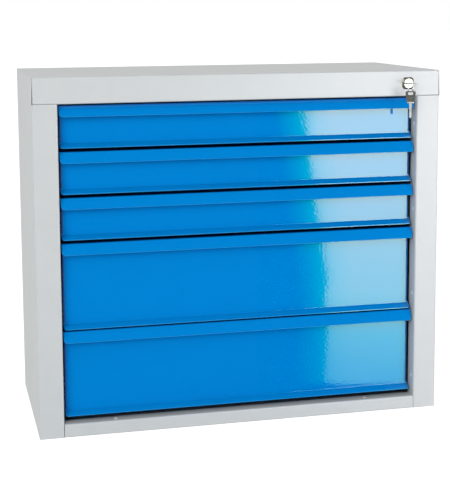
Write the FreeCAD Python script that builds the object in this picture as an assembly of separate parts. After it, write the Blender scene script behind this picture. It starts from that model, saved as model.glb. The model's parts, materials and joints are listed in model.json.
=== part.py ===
import FreeCAD, Part
import math
import os

from FreeCAD import Vector

# Reagent drawer cabinet: a folded sheet-steel carcass with five lipped drawers on ball slides.
# The origin is the centre of the footprint on the floor. The drawers face -Y, +Z is up.

# Carcass
cabinet_width = 700.0
cabinet_depth = 320.0
cabinet_height = 600.0
carcass_sheet = 1.0
carcass_bend_radius = 1.5
seam_gap = 0.3
stile_width = 41.0
stile_return_depth = 25.0
top_rail_height = 44.0
top_rail_return_depth = 25.0
top_back_flange_height = 25.0
top_ear_flare = 1.2
top_ear_length = 30.0
inner_flange_width = 18.0
bottom_rail_height = 22.5
bottom_rail_return_depth = 25.0
bottom_rail_lip_drop = 7.0
floor_rear_flange_height = 18.0

# Uprights that carry the slides
upright_sheet = 1.5
upright_setback = 3.0
front_upright_web_depth = 57.0
rear_upright_web_depth = 35.0
upright_foot_width = 15.0

# Rivets of the stiles, the sill and the back
fastener_sides = 8
rivet_shank_radius = 2.0
rivet_hole_clearance = 0.1
rivet_head_radius = 3.6
rivet_head_height = 1.0
rivet_crown_radius = 2.4
rivet_tail_radius = 3.0
rivet_tail_height = 1.2
stile_rivet_count = 4
stile_rivet_pitch = 150.0
stile_rivet_foot = 57.0
stile_rivet_setback = 12.0
sill_rivet_spread = 444.0
sill_rivet_setback = 12.0
back_rivet_count = 5
back_rivet_margin = 60.0

# Brackets that hold the sill down to the floor
sill_bracket_width = 30.0
sill_bracket_setback = 6.0
sill_bracket_depth = 13.0

# Drawer fronts
shallow_drawer_count = 3
deep_drawer_count = 2
shallow_front_height = 70.0
top_front_gap = 3.0
shallow_front_gap = 6.0
deep_front_gap = 3.0
bottom_front_gap = 10.5
front_sheet = 1.0
front_bend_radius = 1.0
face_setback = 20.0
face_side_gap = 4.2
face_corner_radius = 3.5
face_return_depth = 10.0
lip_side_gap = 2.8
lip_height = 18.3
lip_top_setback = 11.8
lip_edge_setback = 3.9
lip_corner_radius = 6.0
fold_tail = 3.0
flange_setback = 9.0
flange_drop = 7.0
flange_corner_radius = 4.0

# Drawer trays
tray_sheet = 1.0
tray_bend_radius = 1.0
tray_rise = 9.0
tray_top_drop = 11.0
deep_tray_top_drop = 26.0
tray_hem_width = 5.0
tray_weld_flange_height = 12.0
tray_rear_clearance = 23.0
tray_back_flange_depth = 12.0

# Ball slides
slide_thickness = 12.7
slide_height = 35.0
slide_sheet = 1.2
slide_bend_radius = 0.6
slide_front_setback = 32.0
slide_rear_clearance = 38.0
slide_rise = 25.0
cabinet_member_depth = 9.2
cabinet_member_lip = 3.9
middle_member_inset = 3.4
middle_member_depth = 7.0
middle_member_lip = 2.5
drawer_member_depth = 7.1
drawer_member_lip = 2.4
ball_gap = 3.4
cage_clearance = 0.3
outer_cage_width = 4.2
inner_cage_width = 2.8
cage_end_margin = 10.0
screw_margin = 16.0
screw_shank_radius = 1.9
screw_hole_clearance = 0.2
screw_head_radius = 3.2
screw_head_height = 1.5
screw_end = 2.0

# Lock in the top rail
lock_inset = 58.0
lock_drop = 22.0
bezel_size = 20.6
bezel_height = 3.0
bezel_chamfer = 3.5
bezel_rim_height = 0.8
bezel_face_share = 0.8
housing_radius = 9.5
housing_length = 29.0
housing_hole_clearance = 0.1
plug_radius = 7.0
plug_running_clearance = 0.06
plug_face_height = 1.0
nut_sides = 6
nut_across_flats = 24.0
nut_height = 4.0
tenon_size = 6.0
cam_clearance = 0.3
cam_thickness = 1.5
cam_wall = 3.2
crank_radius = 7.07
crank_pin_radius = 2.4
crank_pin_overrun = 1.3
cam_screw_radius = 1.5
cam_screw_head_radius = 3.4
cam_screw_head_height = 1.8
cam_screw_length = 6.0

# Key in the lock
key_thickness = 2.0
key_bow_length = 18.6
key_bow_end_width = 18.0
key_bow_shoulder_width = 13.5
key_corner_radius = 2.5
key_collar_width = 9.0
key_collar_length = 2.0
key_blade_width = 6.0
key_blade_length = 26.0
key_slot_length = 8.4
key_slot_width = 5.0
key_slot_inset = 4.0
key_slot_corner_share = 0.5
keyway_clearance = 0.2

# Split ring that hangs in the key's slot
ring_radius = 8.2
ring_wire_radius = 0.75
ring_swing_degrees = 55.0
ring_rest_clearance = 0.4
ring_wire_sides = 6
ring_sweep_degrees = 360.0

# Bar that locks all drawers
bar_thickness = 2.0
bar_width = 14.0
bar_side_clearance = 2.0
bar_screw_gap = 0.9
bar_end_margin = 12.0
catch_reach = 4.0
catch_height = 5.0
catch_drop = 1.0
yoke_wall = 3.0
yoke_clearance = 0.35
yoke_end_clearance = 0.5
window_clearance = 1.0
guide_height = 12.0
guide_wall = 1.8
guide_clearance = 0.2
ear_gap = 5.5
ear_reach = 10.7
ear_height = 8.0
ear_lift = 0.5
ear_root_length = 30.0
ear_root_depth = 6.0

# Overrun that lets a cutting solid pass the faces that it cuts
cut_overrun = 1.0

# Places that follow from the sizes above
front_y = -cabinet_depth / 2
back_y = cabinet_depth / 2
half_width = cabinet_width / 2
inner_half_width = half_width - carcass_sheet
opening_half_width = half_width - stile_width
opening_top = cabinet_height - top_rail_height
upright_face = opening_half_width + carcass_sheet
tray_half_width = upright_face - slide_thickness
face_y = front_y + face_setback
tray_front_y = face_y + front_sheet
tray_rear_y = back_y - tray_rear_clearance
slide_front_y = front_y + slide_front_setback
slide_rear_y = back_y - slide_rear_clearance
lock_x = half_width - lock_inset
lock_z = cabinet_height - lock_drop
plug_face_y = front_y - bezel_height - plug_face_height
cam_front_y = front_y + housing_length + cam_clearance
cam_rear_y = cam_front_y + cam_thickness
crank_offset = crank_radius / math.sqrt(2)
bar_travel = 2 * crank_offset
bar_front_y = cam_rear_y + cam_screw_head_height + bar_screw_gap
bar_rear_y = bar_front_y + bar_thickness
bar_near_x = upright_face + upright_sheet + bar_side_clearance
bar_far_x = bar_near_x + bar_width
ear_front_y = bar_rear_y + ear_gap


def plan_at(height):
    """Map outline points (x, y) to the horizontal plane at a height."""
    return lambda u, v: Vector(u, v, height)


def section_at(x):
    """Map outline points (y, z) to the upright plane across the width at x."""
    return lambda u, v: Vector(x, u, v)


def elevation_at(y):
    """Map outline points (x, z) to the upright plane that faces the front at y."""
    return lambda u, v: Vector(u, y, v)


def block(x_range, y_range, z_range):
    """Make a box from its ranges along the three axes."""
    low = Vector(x_range[0], y_range[0], z_range[0])
    high = Vector(x_range[1], y_range[1], z_range[1])
    size = high - low
    return Part.makeBox(size.x, size.y, size.z, low)


def direction(start, end):
    """Give the unit direction from one outline point to the next."""
    run = math.hypot(end[0] - start[0], end[1] - start[1])
    return (end[0] - start[0]) / run, (end[1] - start[1]) / run


def along(point, heading, distance):
    """Step a distance from an outline point along a heading."""
    return point[0] + heading[0] * distance, point[1] + heading[1] * distance


def corner_arc(before, corner, after, radius):
    """Give the start, middle, end, centre and inward turn of an arc that rounds a corner."""
    heading_in = direction(before, corner)
    heading_out = direction(corner, after)
    turn = heading_in[0] * heading_out[1] - heading_in[1] * heading_out[0]
    facing = heading_in[0] * heading_out[0] + heading_in[1] * heading_out[1]
    reach = radius * math.tan(math.atan2(abs(turn), facing) / 2)
    start = along(corner, heading_in, -reach)
    end = along(corner, heading_out, reach)
    sign = 1 if turn > 0 else -1
    centre = along(start, (-heading_in[1] * sign, heading_in[0] * sign), radius)
    outward = direction(centre, corner)
    return start, along(centre, outward, radius), end, centre, sign


def rounded_face(points, radii, to_space):
    """Make a flat face from corner points, each rounded by its own radius or left sharp at zero."""
    edges = []
    stops = []
    for index, corner in enumerate(points):
        before = points[index - 1]
        after = points[(index + 1) % len(points)]
        if radii[index] > 0:
            start, middle, end = corner_arc(before, corner, after, radii[index])[:3]
            edges.append(Part.Arc(to_space(*start), to_space(*middle), to_space(*end)).toShape())
            stops.append((start, end))
        else:
            stops.append((corner, corner))
    for index, stop in enumerate(stops):
        following = stops[(index + 1) % len(stops)]
        edges.append(Part.LineSegment(to_space(*stop[1]), to_space(*following[0])).toShape())
    return Part.Face(Part.Wire(Part.__sortEdges__(edges)))


def plate(points, radii, to_space, sweep):
    """Make a flat plate from rounded corner points and the sweep of its thickness."""
    return rounded_face(points, radii, to_space).extrude(sweep)


def bend(start, middle, end, in_one_step):
    """Draw a bend's skin as an arc, or as one straight step where the part repeats inside."""
    if in_one_step:
        return Part.LineSegment(start, end).toShape()
    return Part.Arc(start, middle, end).toShape()


def folded_sheet(path, thickness, bend_radius, to_space, sweep, in_one_step=False):
    """Fold a sheet along a path. Its other skin lies to the left of the path, or right if negative."""
    side = 1 if thickness > 0 else -1
    gauge = abs(thickness)
    near_edges = []
    far_edges = []

    def leaf_normal(heading):
        return -heading[1] * side, heading[0] * side

    near_point = path[0]
    far_point = along(path[0], leaf_normal(direction(path[0], path[1])), gauge)
    start_cap = (far_point, near_point)
    for index in range(1, len(path) - 1):
        before, corner, after = path[index - 1], path[index], path[index + 1]
        sign = corner_arc(before, corner, after, bend_radius)[4]
        outside = sign == side
        near_radius = bend_radius + gauge if outside else bend_radius
        far_radius = bend_radius if outside else bend_radius + gauge
        start, middle, end, centre, sign = corner_arc(before, corner, after, near_radius)
        outward = direction(centre, middle)
        far_start = along(start, leaf_normal(direction(before, corner)), gauge)
        far_end = along(end, leaf_normal(direction(corner, after)), gauge)
        far_middle = along(centre, outward, far_radius)
        near_edges.append(Part.LineSegment(to_space(*near_point), to_space(*start)).toShape())
        near_edges.append(bend(to_space(*start), to_space(*middle), to_space(*end), in_one_step))
        far_edges.append(Part.LineSegment(to_space(*far_point), to_space(*far_start)).toShape())
        far_bend = (to_space(*far_start), to_space(*far_middle), to_space(*far_end))
        far_edges.append(bend(*far_bend, in_one_step))
        near_point = end
        far_point = far_end
    near_end = path[-1]
    far_end = along(near_end, leaf_normal(direction(path[-2], path[-1])), gauge)
    near_edges.append(Part.LineSegment(to_space(*near_point), to_space(*near_end)).toShape())
    far_edges.append(Part.LineSegment(to_space(*far_point), to_space(*far_end)).toShape())
    end_cap = Part.LineSegment(to_space(*near_end), to_space(*far_end)).toShape()
    start_edge = Part.LineSegment(to_space(*start_cap[0]), to_space(*start_cap[1])).toShape()
    edges = near_edges + [end_cap] + far_edges + [start_edge]
    return Part.Face(Part.Wire(Part.__sortEdges__(edges))).extrude(sweep)


def mirrored(shape):
    """Copy a shape to the other side of the cabinet."""
    return shape.mirror(Vector(0, 0, 0), Vector(1, 0, 0))


def both_sides(shapes):
    """Give the shapes together with their mirror images."""
    return list(shapes) + [mirrored(shape) for shape in shapes]


def joined(first, others):
    """Fuse solids into one and drop the seams between flush faces."""
    return first.fuse(others).removeSplitter()


def rod(radius, start, end):
    """Make a straight round rod between two points."""
    axis = end - start
    return Part.makeCylinder(radius, axis.Length, start, axis)


def ring_of_corners(radius, centre, axis):
    """Give a closed regular polygon round an axis, which stands for a small circle."""
    side = axis.cross(Vector(axis.y, axis.z, axis.x)).normalize()
    across = axis.cross(side).normalize()
    corners = []
    for index in range(fastener_sides + 1):
        angle = math.tau * (index % fastener_sides) / fastener_sides
        corners.append(centre + side * (radius * math.cos(angle)) + across * (radius * math.sin(angle)))
    return Part.makePolygon(corners)


def stud(radius, start, end):
    """Make the many-sided rod of a small fastener, or of the hole that it goes through."""
    return Part.Face(ring_of_corners(radius, start, (end - start).normalize())).extrude(end - start)


def rivet(seat, axis, grip):
    """Make a pop rivet whose domed head stands on seat and whose shank runs along axis."""
    tail_end = seat + axis * (grip + rivet_tail_height)
    shank = stud(rivet_shank_radius, seat, tail_end)
    tail = stud(rivet_tail_radius, seat + axis * grip, tail_end)
    rim = ring_of_corners(rivet_head_radius, seat, axis)
    crown = ring_of_corners(rivet_crown_radius, seat - axis * rivet_head_height, axis)
    head = Part.makeLoft([rim, crown], True, True)
    return joined(head, [shank, tail])


def rivet_hole(seat, axis, grip):
    """Make the solid that drills a rivet's hole."""
    start = seat - axis * cut_overrun
    return stud(rivet_shank_radius + rivet_hole_clearance, start, seat + axis * (grip + cut_overrun))


def drawer_rows():
    """Give each drawer's top, bottom and tray top, from the top drawer down."""
    count = shallow_drawer_count + deep_drawer_count
    gaps = [shallow_front_gap] * shallow_drawer_count + [deep_front_gap] * (deep_drawer_count - 1)
    room = opening_top - bottom_rail_height - top_front_gap - bottom_front_gap - sum(gaps)
    deep_front_height = (room - shallow_drawer_count * shallow_front_height) / deep_drawer_count
    rows = []
    top = opening_top - top_front_gap
    for index in range(count):
        shallow = index < shallow_drawer_count
        bottom = top - (shallow_front_height if shallow else deep_front_height)
        tray_top = top - (tray_top_drop if shallow else deep_tray_top_drop)
        rows.append((top, bottom, tray_top))
        if index < len(gaps):
            top = bottom - gaps[index]
    return rows


def tray_floor(row):
    """Give the height of a tray's underside."""
    return row[1] + tray_rise


def slide_height_at(row):
    """Give the height of a drawer's slides at their middle."""
    return tray_floor(row) + slide_rise


def catch_range(row):
    """Give the lowest and highest point of a drawer's catch while the bar is down."""
    high = row[2] - catch_drop
    return high - catch_height, high


def stile_rivet_seats():
    """Give the rivet seats on the right stile's return."""
    seats = []
    for index in range(stile_rivet_count):
        height = stile_rivet_foot + index * stile_rivet_pitch
        seats.append(Vector(opening_half_width, front_y + stile_rivet_setback, height))
    return seats


def sill_rivet_seats():
    """Give the two rivet seats on the bottom rail's return."""
    y = front_y + sill_rivet_setback
    return [Vector(side * sill_rivet_spread / 2, y, bottom_rail_height) for side in (-1, 1)]


def back_rivet_seats():
    """Give the rivet seats along the right edge of the back."""
    low = back_rivet_margin
    step = (cabinet_height - 2 * back_rivet_margin) / (back_rivet_count - 1)
    x = inner_half_width - inner_flange_width / 2
    return [Vector(x, back_y - carcass_sheet, low + index * step) for index in range(back_rivet_count)]


def right_side_panel():
    """Fold the right side: stile return, stile, side and back flange, with ears under the top."""
    path = [
        (opening_half_width, front_y + stile_return_depth),
        (opening_half_width, front_y),
        (half_width, front_y),
        (half_width, back_y - carcass_sheet),
        (inner_half_width - inner_flange_width, back_y - carcass_sheet),
    ]
    stile_top = opening_top - seam_gap
    lower = folded_sheet(path, carcass_sheet, carcass_bend_radius, plan_at(0), Vector(0, 0, stile_top))
    foot_relief = block(
        (opening_half_width - cut_overrun, upright_face + cut_overrun),
        (front_y + carcass_sheet, front_y + stile_return_depth + cut_overrun),
        (-cut_overrun, carcass_sheet + seam_gap),
    )
    lower = lower.cut(foot_relief)
    panel_top = cabinet_height - carcass_sheet
    ear_end = front_y + top_ear_length
    upper_path = [(half_width, ear_end)] + path[3:]
    rise = Vector(0, 0, panel_top - stile_top)
    upper = folded_sheet(upper_path, carcass_sheet, carcass_bend_radius, plan_at(stile_top), rise)
    ear = sprung_ear(stile_top, panel_top, ear_end)
    flange_y = (front_y + top_rail_return_depth + seam_gap, back_y - 4 * carcass_sheet - seam_gap)
    flange_x = (inner_half_width - inner_flange_width, inner_half_width)
    top_flange = block(flange_x, flange_y, (panel_top - carcass_sheet, panel_top))
    low_flange = block(flange_x, flange_y, (carcass_sheet, 2 * carcass_sheet))
    panel = joined(lower, [upper, ear, top_flange, low_flange])
    corner_relief = block(
        (opening_half_width, half_width + cut_overrun),
        (back_y - carcass_sheet - carcass_bend_radius - seam_gap, back_y),
        (panel_top - carcass_bend_radius - seam_gap, cabinet_height),
    )
    panel = panel.cut(corner_relief)
    holes = [rivet_hole(seat, Vector(1, 0, 0), carcass_sheet) for seat in stile_rivet_seats()]
    holes += [rivet_hole(seat, Vector(0, -1, 0), carcass_sheet) for seat in back_rivet_seats()]
    return panel.cut(holes)


def sprung_ear(low, high, ear_end):
    """Make the side's front strip beside the top rail, which springs out a little at its foot."""
    front = [
        Vector(inner_half_width, front_y, high),
        Vector(half_width, front_y, high),
        Vector(half_width + top_ear_flare, front_y, low),
        Vector(inner_half_width + top_ear_flare, front_y, low),
    ]
    rear = [
        Vector(inner_half_width, ear_end, high),
        Vector(half_width, ear_end, high),
        Vector(half_width, ear_end, low),
        Vector(inner_half_width, ear_end, low),
    ]
    wires = [Part.makePolygon(corners + [corners[0]]) for corners in (front, rear)]
    return Part.makeLoft(wires, True, True)


def top_cover():
    """Fold the top: rail return, top rail, top sheet and back flange, with the lock's hole."""
    rail_path = [
        (front_y + top_rail_return_depth, opening_top),
        (front_y, opening_top),
        (front_y, cabinet_height),
        (back_y, cabinet_height),
        (back_y, cabinet_height - top_back_flange_height),
    ]
    rail_half = inner_half_width - seam_gap
    cover = folded_sheet(
        rail_path, -carcass_sheet, carcass_bend_radius, section_at(-rail_half), Vector(2 * rail_half, 0, 0)
    )
    edge_path = rail_path[2:]
    edge_path[0] = (front_y + carcass_bend_radius + carcass_sheet, cabinet_height)
    full = folded_sheet(
        edge_path, -carcass_sheet, carcass_bend_radius, section_at(-half_width), Vector(cabinet_width, 0, 0)
    )
    hole_start = Vector(lock_x, front_y - cut_overrun, lock_z)
    hole_end = Vector(lock_x, front_y + carcass_sheet + cut_overrun, lock_z)
    lock_hole = rod(housing_radius + housing_hole_clearance, hole_start, hole_end)
    return joined(cover, [full]).cut(lock_hole)


def bottom_panel():
    """Fold the floor with its front rail and shelf, and its rear flange."""
    rail_half = opening_half_width - seam_gap
    rail_path = [
        (front_y + upright_foot_width, 0),
        (front_y, 0),
        (front_y, bottom_rail_height),
        (front_y + bottom_rail_return_depth, bottom_rail_height),
        (front_y + bottom_rail_return_depth, bottom_rail_height - bottom_rail_lip_drop),
    ]
    rail = folded_sheet(
        rail_path, -carcass_sheet, carcass_bend_radius, section_at(-rail_half), Vector(2 * rail_half, 0, 0)
    )
    floor_front = front_y + carcass_sheet + carcass_bend_radius + seam_gap
    floor_rear = back_y - 3 * carcass_sheet
    floor_outline = [
        (-inner_half_width, floor_front),
        (inner_half_width, floor_front),
        (inner_half_width, floor_rear),
        (-inner_half_width, floor_rear),
    ]
    rear_radius = 2 * carcass_bend_radius
    floor = plate(floor_outline, [0, 0, rear_radius, rear_radius], plan_at(0), Vector(0, 0, carcass_sheet))
    flange_half = inner_half_width - inner_flange_width - seam_gap
    flange = block(
        (-flange_half, flange_half), (floor_rear - carcass_sheet, floor_rear), (0, floor_rear_flange_height)
    )
    holes = [rivet_hole(seat, Vector(0, 0, -1), carcass_sheet) for seat in sill_rivet_seats()]
    return joined(floor, [rail, flange]).cut(holes)


def back_panel():
    """Cut the flat back, which is riveted inside the sides' back flanges."""
    half = inner_half_width - carcass_bend_radius - seam_gap
    y_range = (back_y - 3 * carcass_sheet, back_y - 2 * carcass_sheet)
    z_range = (carcass_sheet + seam_gap, cabinet_height - carcass_sheet - seam_gap)
    panel = block((-half, half), y_range, z_range)
    seats = back_rivet_seats()
    holes = [rivet_hole(seat, Vector(0, -1, 0), 2 * carcass_sheet) for seat in seats]
    return panel.cut(both_sides(holes))


def front_upright():
    """Fold the right front upright, with rivet and screw holes and without the bar's windows."""
    web_front = front_y + upright_setback
    web_rear = web_front + front_upright_web_depth
    foot_x = inner_half_width - upright_sheet
    path = [
        (upright_face, web_front),
        (upright_face, web_rear),
        (foot_x, web_rear),
        (foot_x, web_rear + upright_foot_width),
    ]
    foot = 2 * carcass_sheet + seam_gap
    height = opening_top - seam_gap - foot
    rise = Vector(0, 0, height)
    upright = folded_sheet(path, -upright_sheet, upright_sheet, plan_at(foot), rise, in_one_step=True)
    grip = carcass_sheet + upright_sheet
    holes = [rivet_hole(seat, Vector(1, 0, 0), grip) for seat in stile_rivet_seats()]
    holes += [screw_hole(seat) for seat in screw_seats(True)]
    return upright.cut(holes)


def barred_upright():
    """Cut the windows of the locking bar's catches into the right front upright."""
    windows = []
    for row in drawer_rows():
        low, high = catch_range(row)
        windows.append(block(
            (upright_face - cut_overrun, upright_face + upright_sheet + cut_overrun),
            (bar_front_y - window_clearance, bar_rear_y + window_clearance),
            (low - window_clearance, high + bar_travel + window_clearance),
        ))
    return front_upright().cut(windows)


def rear_upright():
    """Fold the right rear upright with its screw holes."""
    web_rear = slide_rear_y + upright_setback
    web_front = web_rear - rear_upright_web_depth
    foot_x = inner_half_width - upright_sheet
    path = [
        (upright_face, web_rear),
        (upright_face, web_front),
        (foot_x, web_front),
        (foot_x, web_front - upright_foot_width),
    ]
    foot = 2 * carcass_sheet + seam_gap
    height = cabinet_height - foot - 2 * carcass_sheet - seam_gap
    rise = Vector(0, 0, height)
    upright = folded_sheet(path, upright_sheet, upright_sheet, plan_at(foot), rise, in_one_step=True)
    return upright.cut([screw_hole(seat) for seat in screw_seats(False)])


def sill_brackets():
    """Fold the two brackets between the bottom rail's shelf and the floor."""
    front = front_y + sill_bracket_setback
    rear = front + sill_bracket_depth
    shelf = bottom_rail_height - carcass_sheet
    path = [(front, shelf), (rear, shelf), (rear, carcass_sheet), (front, carcass_sheet)]
    brackets = []
    for seat in sill_rivet_seats():
        start = seat.x - sill_bracket_width / 2
        bracket = folded_sheet(
            path, -carcass_sheet, carcass_bend_radius, section_at(start), Vector(sill_bracket_width, 0, 0)
        )
        brackets.append(bracket.cut(rivet_hole(seat, Vector(0, 0, -1), 2 * carcass_sheet)))
    return brackets


def screw_seats(front):
    """Give the screw seats on the right cabinet members, at one end of the slides."""
    y = slide_front_y + screw_margin if front else slide_rear_y - screw_margin
    x = upright_face - slide_sheet
    return [Vector(x, y, slide_height_at(row)) for row in drawer_rows()]


def screw_hole(seat):
    """Make the solid that drills a slide screw's hole."""
    start = seat - Vector(cut_overrun, 0, 0)
    end = seat + Vector(slide_sheet + upright_sheet + cut_overrun, 0, 0)
    return stud(screw_shank_radius + screw_hole_clearance, start, end)


def slide_screw(seat):
    """Make a pan-head screw through a cabinet member and its upright."""
    tip = seat + Vector(slide_sheet + upright_sheet + screw_end, 0, 0)
    head = stud(screw_head_radius, seat - Vector(screw_head_height, 0, 0), seat)
    return joined(head, [stud(screw_shank_radius, seat, tip)])


def slide_channel(row, web_inset, reach, half_height, lip, opens_inward):
    """Roll one member of the right slide as a lipped channel."""
    web_x = upright_face - web_inset
    edge_x = web_x - reach if opens_inward else web_x + reach
    middle = slide_height_at(row)
    path = [
        (edge_x, middle + half_height - lip),
        (edge_x, middle + half_height),
        (web_x, middle + half_height),
        (web_x, middle - half_height),
        (edge_x, middle - half_height),
        (edge_x, middle - half_height + lip),
    ]
    gauge = slide_sheet if not opens_inward else -slide_sheet
    length = Vector(0, slide_rear_y - slide_front_y, 0)
    to_space = elevation_at(slide_front_y)
    return folded_sheet(path, gauge, slide_bend_radius, to_space, length, in_one_step=True)


def middle_half_height():
    """Give half the height of the middle member, inside the balls of the cabinet member."""
    return slide_height / 2 - slide_sheet - ball_gap


def drawer_half_height():
    """Give half the height of the drawer member, inside the balls of the middle member."""
    return middle_half_height() - slide_sheet - ball_gap


def cabinet_member(row):
    """Roll the outer member, which is screwed to the uprights."""
    member = slide_channel(row, 0, cabinet_member_depth, slide_height / 2, cabinet_member_lip, True)
    seats = [seat for seat in screw_seats(True) + screw_seats(False) if seat.z == slide_height_at(row)]
    return member.cut([screw_hole(seat) for seat in seats])


def middle_member(row):
    """Roll the middle member, which carries the balls."""
    return slide_channel(
        row, middle_member_inset, middle_member_depth, middle_half_height(), middle_member_lip, True
    )


def drawer_member(row):
    """Roll the inner member, which is fixed to the tray."""
    return slide_channel(
        row, slide_thickness, drawer_member_depth, drawer_half_height(), drawer_member_lip, False
    )


def ball_cages(row):
    """Make the four ball cages of the right slide, two outside and two inside the middle member."""
    middle_y = (slide_front_y + slide_rear_y) / 2
    outer_x = upright_face - middle_member_inset - slide_sheet
    inner_x = upright_face - slide_thickness + drawer_member_depth
    middle = slide_height_at(row)
    outer_low = middle_half_height()
    outer_high = outer_low + ball_gap - cage_clearance
    inner_high = middle_half_height() - slide_sheet
    inner_low = inner_high - ball_gap + cage_clearance
    cages = []
    for side in (-1, 1):
        outer_z = sorted((middle + side * outer_low, middle + side * outer_high))
        inner_z = sorted((middle + side * inner_low, middle + side * inner_high))
        outer_y = (middle_y + cage_end_margin, slide_rear_y - cage_end_margin)
        inner_y = (slide_front_y + cage_end_margin, middle_y - cage_end_margin)
        outer_range = (outer_x - outer_cage_width / 2, outer_x + outer_cage_width / 2)
        cages.append(block(outer_range, outer_y, outer_z))
        cages.append(block((inner_x - inner_cage_width, inner_x), inner_y, inner_z))
    return cages


def drawer_front(row):
    """Fold a drawer front: slanted finger lip, flat face with bent-back ends, and bottom flange."""
    top, bottom = row[0], row[1]
    face_half = opening_half_width - face_side_gap
    lip_half = opening_half_width - lip_side_gap
    knee = bottom + flange_drop
    face_path = [
        (-face_half, face_y + face_return_depth),
        (-face_half, face_y),
        (face_half, face_y),
        (face_half, face_y + face_return_depth),
    ]
    face_low = knee + fold_tail
    face_high = top - fold_tail
    face = folded_sheet(
        face_path, front_sheet, face_corner_radius, plan_at(face_low), Vector(0, 0, face_high - face_low)
    )
    lip_path = [
        (front_y + lip_edge_setback, top - lip_height),
        (front_y + lip_top_setback, top),
        (tray_front_y, top),
        (tray_front_y, face_high),
    ]
    lip = folded_sheet(
        lip_path, -front_sheet, front_bend_radius, section_at(-lip_half), Vector(2 * lip_half, 0, 0)
    )
    lip_outline = [
        (-lip_half, top - lip_height),
        (lip_half, top - lip_height),
        (lip_half, top + cut_overrun),
        (-lip_half, top + cut_overrun),
    ]
    lip_radii = [lip_corner_radius, lip_corner_radius, 0, 0]
    lip_reach = Vector(0, tray_front_y - front_y, 0)
    lip = lip.common(plate(lip_outline, lip_radii, elevation_at(front_y), lip_reach))
    flange_path = [(tray_front_y, face_low), (tray_front_y, knee), (front_y + flange_setback, bottom)]
    flange = folded_sheet(
        flange_path, -front_sheet, front_bend_radius, section_at(-face_half), Vector(2 * face_half, 0, 0)
    )
    flange_outline = [
        (-face_half, front_y + flange_setback),
        (face_half, front_y + flange_setback),
        (face_half, tray_front_y),
        (-face_half, tray_front_y),
    ]
    flange_radii = [flange_corner_radius, flange_corner_radius, 0, 0]
    flange_reach = Vector(0, 0, face_low - bottom + cut_overrun)
    flange = flange.common(plate(flange_outline, flange_radii, plan_at(bottom - cut_overrun), flange_reach))
    return joined(face, [lip, flange])


def drawer_tray(row):
    """Fold a tray's floor and sides, with its weld flange and the ear that the bar catches."""
    low, high = tray_floor(row), row[2]
    hem_x = tray_half_width - tray_hem_width
    path = [
        (hem_x, high),
        (tray_half_width, high),
        (tray_half_width, low),
        (-tray_half_width, low),
        (-tray_half_width, high),
        (-hem_x, high),
    ]
    length = Vector(0, tray_rear_y - tray_front_y, 0)
    to_space = elevation_at(tray_front_y)
    tray = folded_sheet(path, -tray_sheet, tray_bend_radius, to_space, length, in_one_step=True)
    inner_half = tray_half_width - tray_sheet
    weld_flange = block(
        (tray_bend_radius + tray_sheet - inner_half, inner_half - tray_sheet - tray_bend_radius),
        (tray_front_y, tray_front_y + tray_sheet),
        (low, low + tray_weld_flange_height),
    )
    ear_top = high + ear_lift + ear_height
    ear_root = block(
        (inner_half, tray_half_width),
        (ear_front_y + tray_bend_radius + tray_sheet, ear_front_y + ear_root_length),
        (high - ear_root_depth, ear_top),
    )
    ear_path = [
        (tray_half_width + ear_reach, ear_front_y),
        (inner_half, ear_front_y),
        (inner_half, ear_front_y + ear_root_length),
    ]
    to_space = plan_at(high + ear_lift)
    rise = Vector(0, 0, ear_height)
    ear = folded_sheet(ear_path, -tray_sheet, tray_bend_radius, to_space, rise, in_one_step=True)
    return joined(tray, [weld_flange, ear_root, ear])


def drawer_back(row):
    """Fold a tray's back, which stands on the tray's floor below the side hems."""
    low = tray_floor(row) + tray_sheet
    high = row[2] - tray_sheet - seam_gap
    path = [
        (tray_rear_y - tray_back_flange_depth, low),
        (tray_rear_y, low),
        (tray_rear_y, high),
        (tray_rear_y - tray_hem_width, high),
    ]
    half = tray_half_width - tray_sheet - tray_bend_radius
    width = Vector(2 * half, 0, 0)
    return folded_sheet(path, tray_sheet, tray_bend_radius, section_at(-half), width, in_one_step=True)


def bezel_outline(share, y):
    """Give the bezel's square outline with cut corners, at a share of its full size."""
    reach = share * bezel_size / 2
    inner = reach - share * bezel_chamfer
    corners = []
    for x_sign, z_sign in ((1, 1), (-1, 1), (-1, -1), (1, -1)):
        corner = [
            Vector(lock_x + x_sign * reach, y, lock_z + z_sign * inner),
            Vector(lock_x + x_sign * inner, y, lock_z + z_sign * reach),
        ]
        corners += corner if x_sign * z_sign > 0 else corner[::-1]
    return Part.makePolygon(corners + [corners[0]])


def lock_housing():
    """Turn the lock's body and its square tapered bezel, bored for the plug."""
    rim_y = front_y - bezel_rim_height
    rim = bezel_outline(1, front_y)
    bezel = Part.Face(rim).extrude(Vector(0, -bezel_rim_height, 0))
    face = bezel_outline(bezel_face_share, front_y - bezel_height)
    taper = Part.makeLoft([bezel_outline(1, rim_y), face], True, True)
    body_end = Vector(lock_x, front_y + housing_length, lock_z)
    body = rod(housing_radius, Vector(lock_x, front_y, lock_z), body_end)
    bore_start = Vector(lock_x, front_y - bezel_height - cut_overrun, lock_z)
    bore_end = Vector(lock_x, front_y + housing_length + cut_overrun, lock_z)
    return joined(bezel, [taper, body]).cut(rod(plug_radius + plug_running_clearance, bore_start, bore_end))


def lock_nut():
    """Make the hexagon nut that clamps the housing to the top rail."""
    corner_radius = nut_across_flats / math.sqrt(3)
    corners = []
    for index in range(nut_sides):
        angle = math.tau * index / nut_sides
        corners.append((lock_x + corner_radius * math.cos(angle), lock_z + corner_radius * math.sin(angle)))
    seat = front_y + carcass_sheet
    nut = plate(corners, [0] * len(corners), elevation_at(seat), Vector(0, nut_height, 0))
    bore_start = Vector(lock_x, seat - cut_overrun, lock_z)
    bore_end = Vector(lock_x, seat + nut_height + cut_overrun, lock_z)
    return nut.cut(rod(housing_radius + housing_hole_clearance, bore_start, bore_end))


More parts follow.
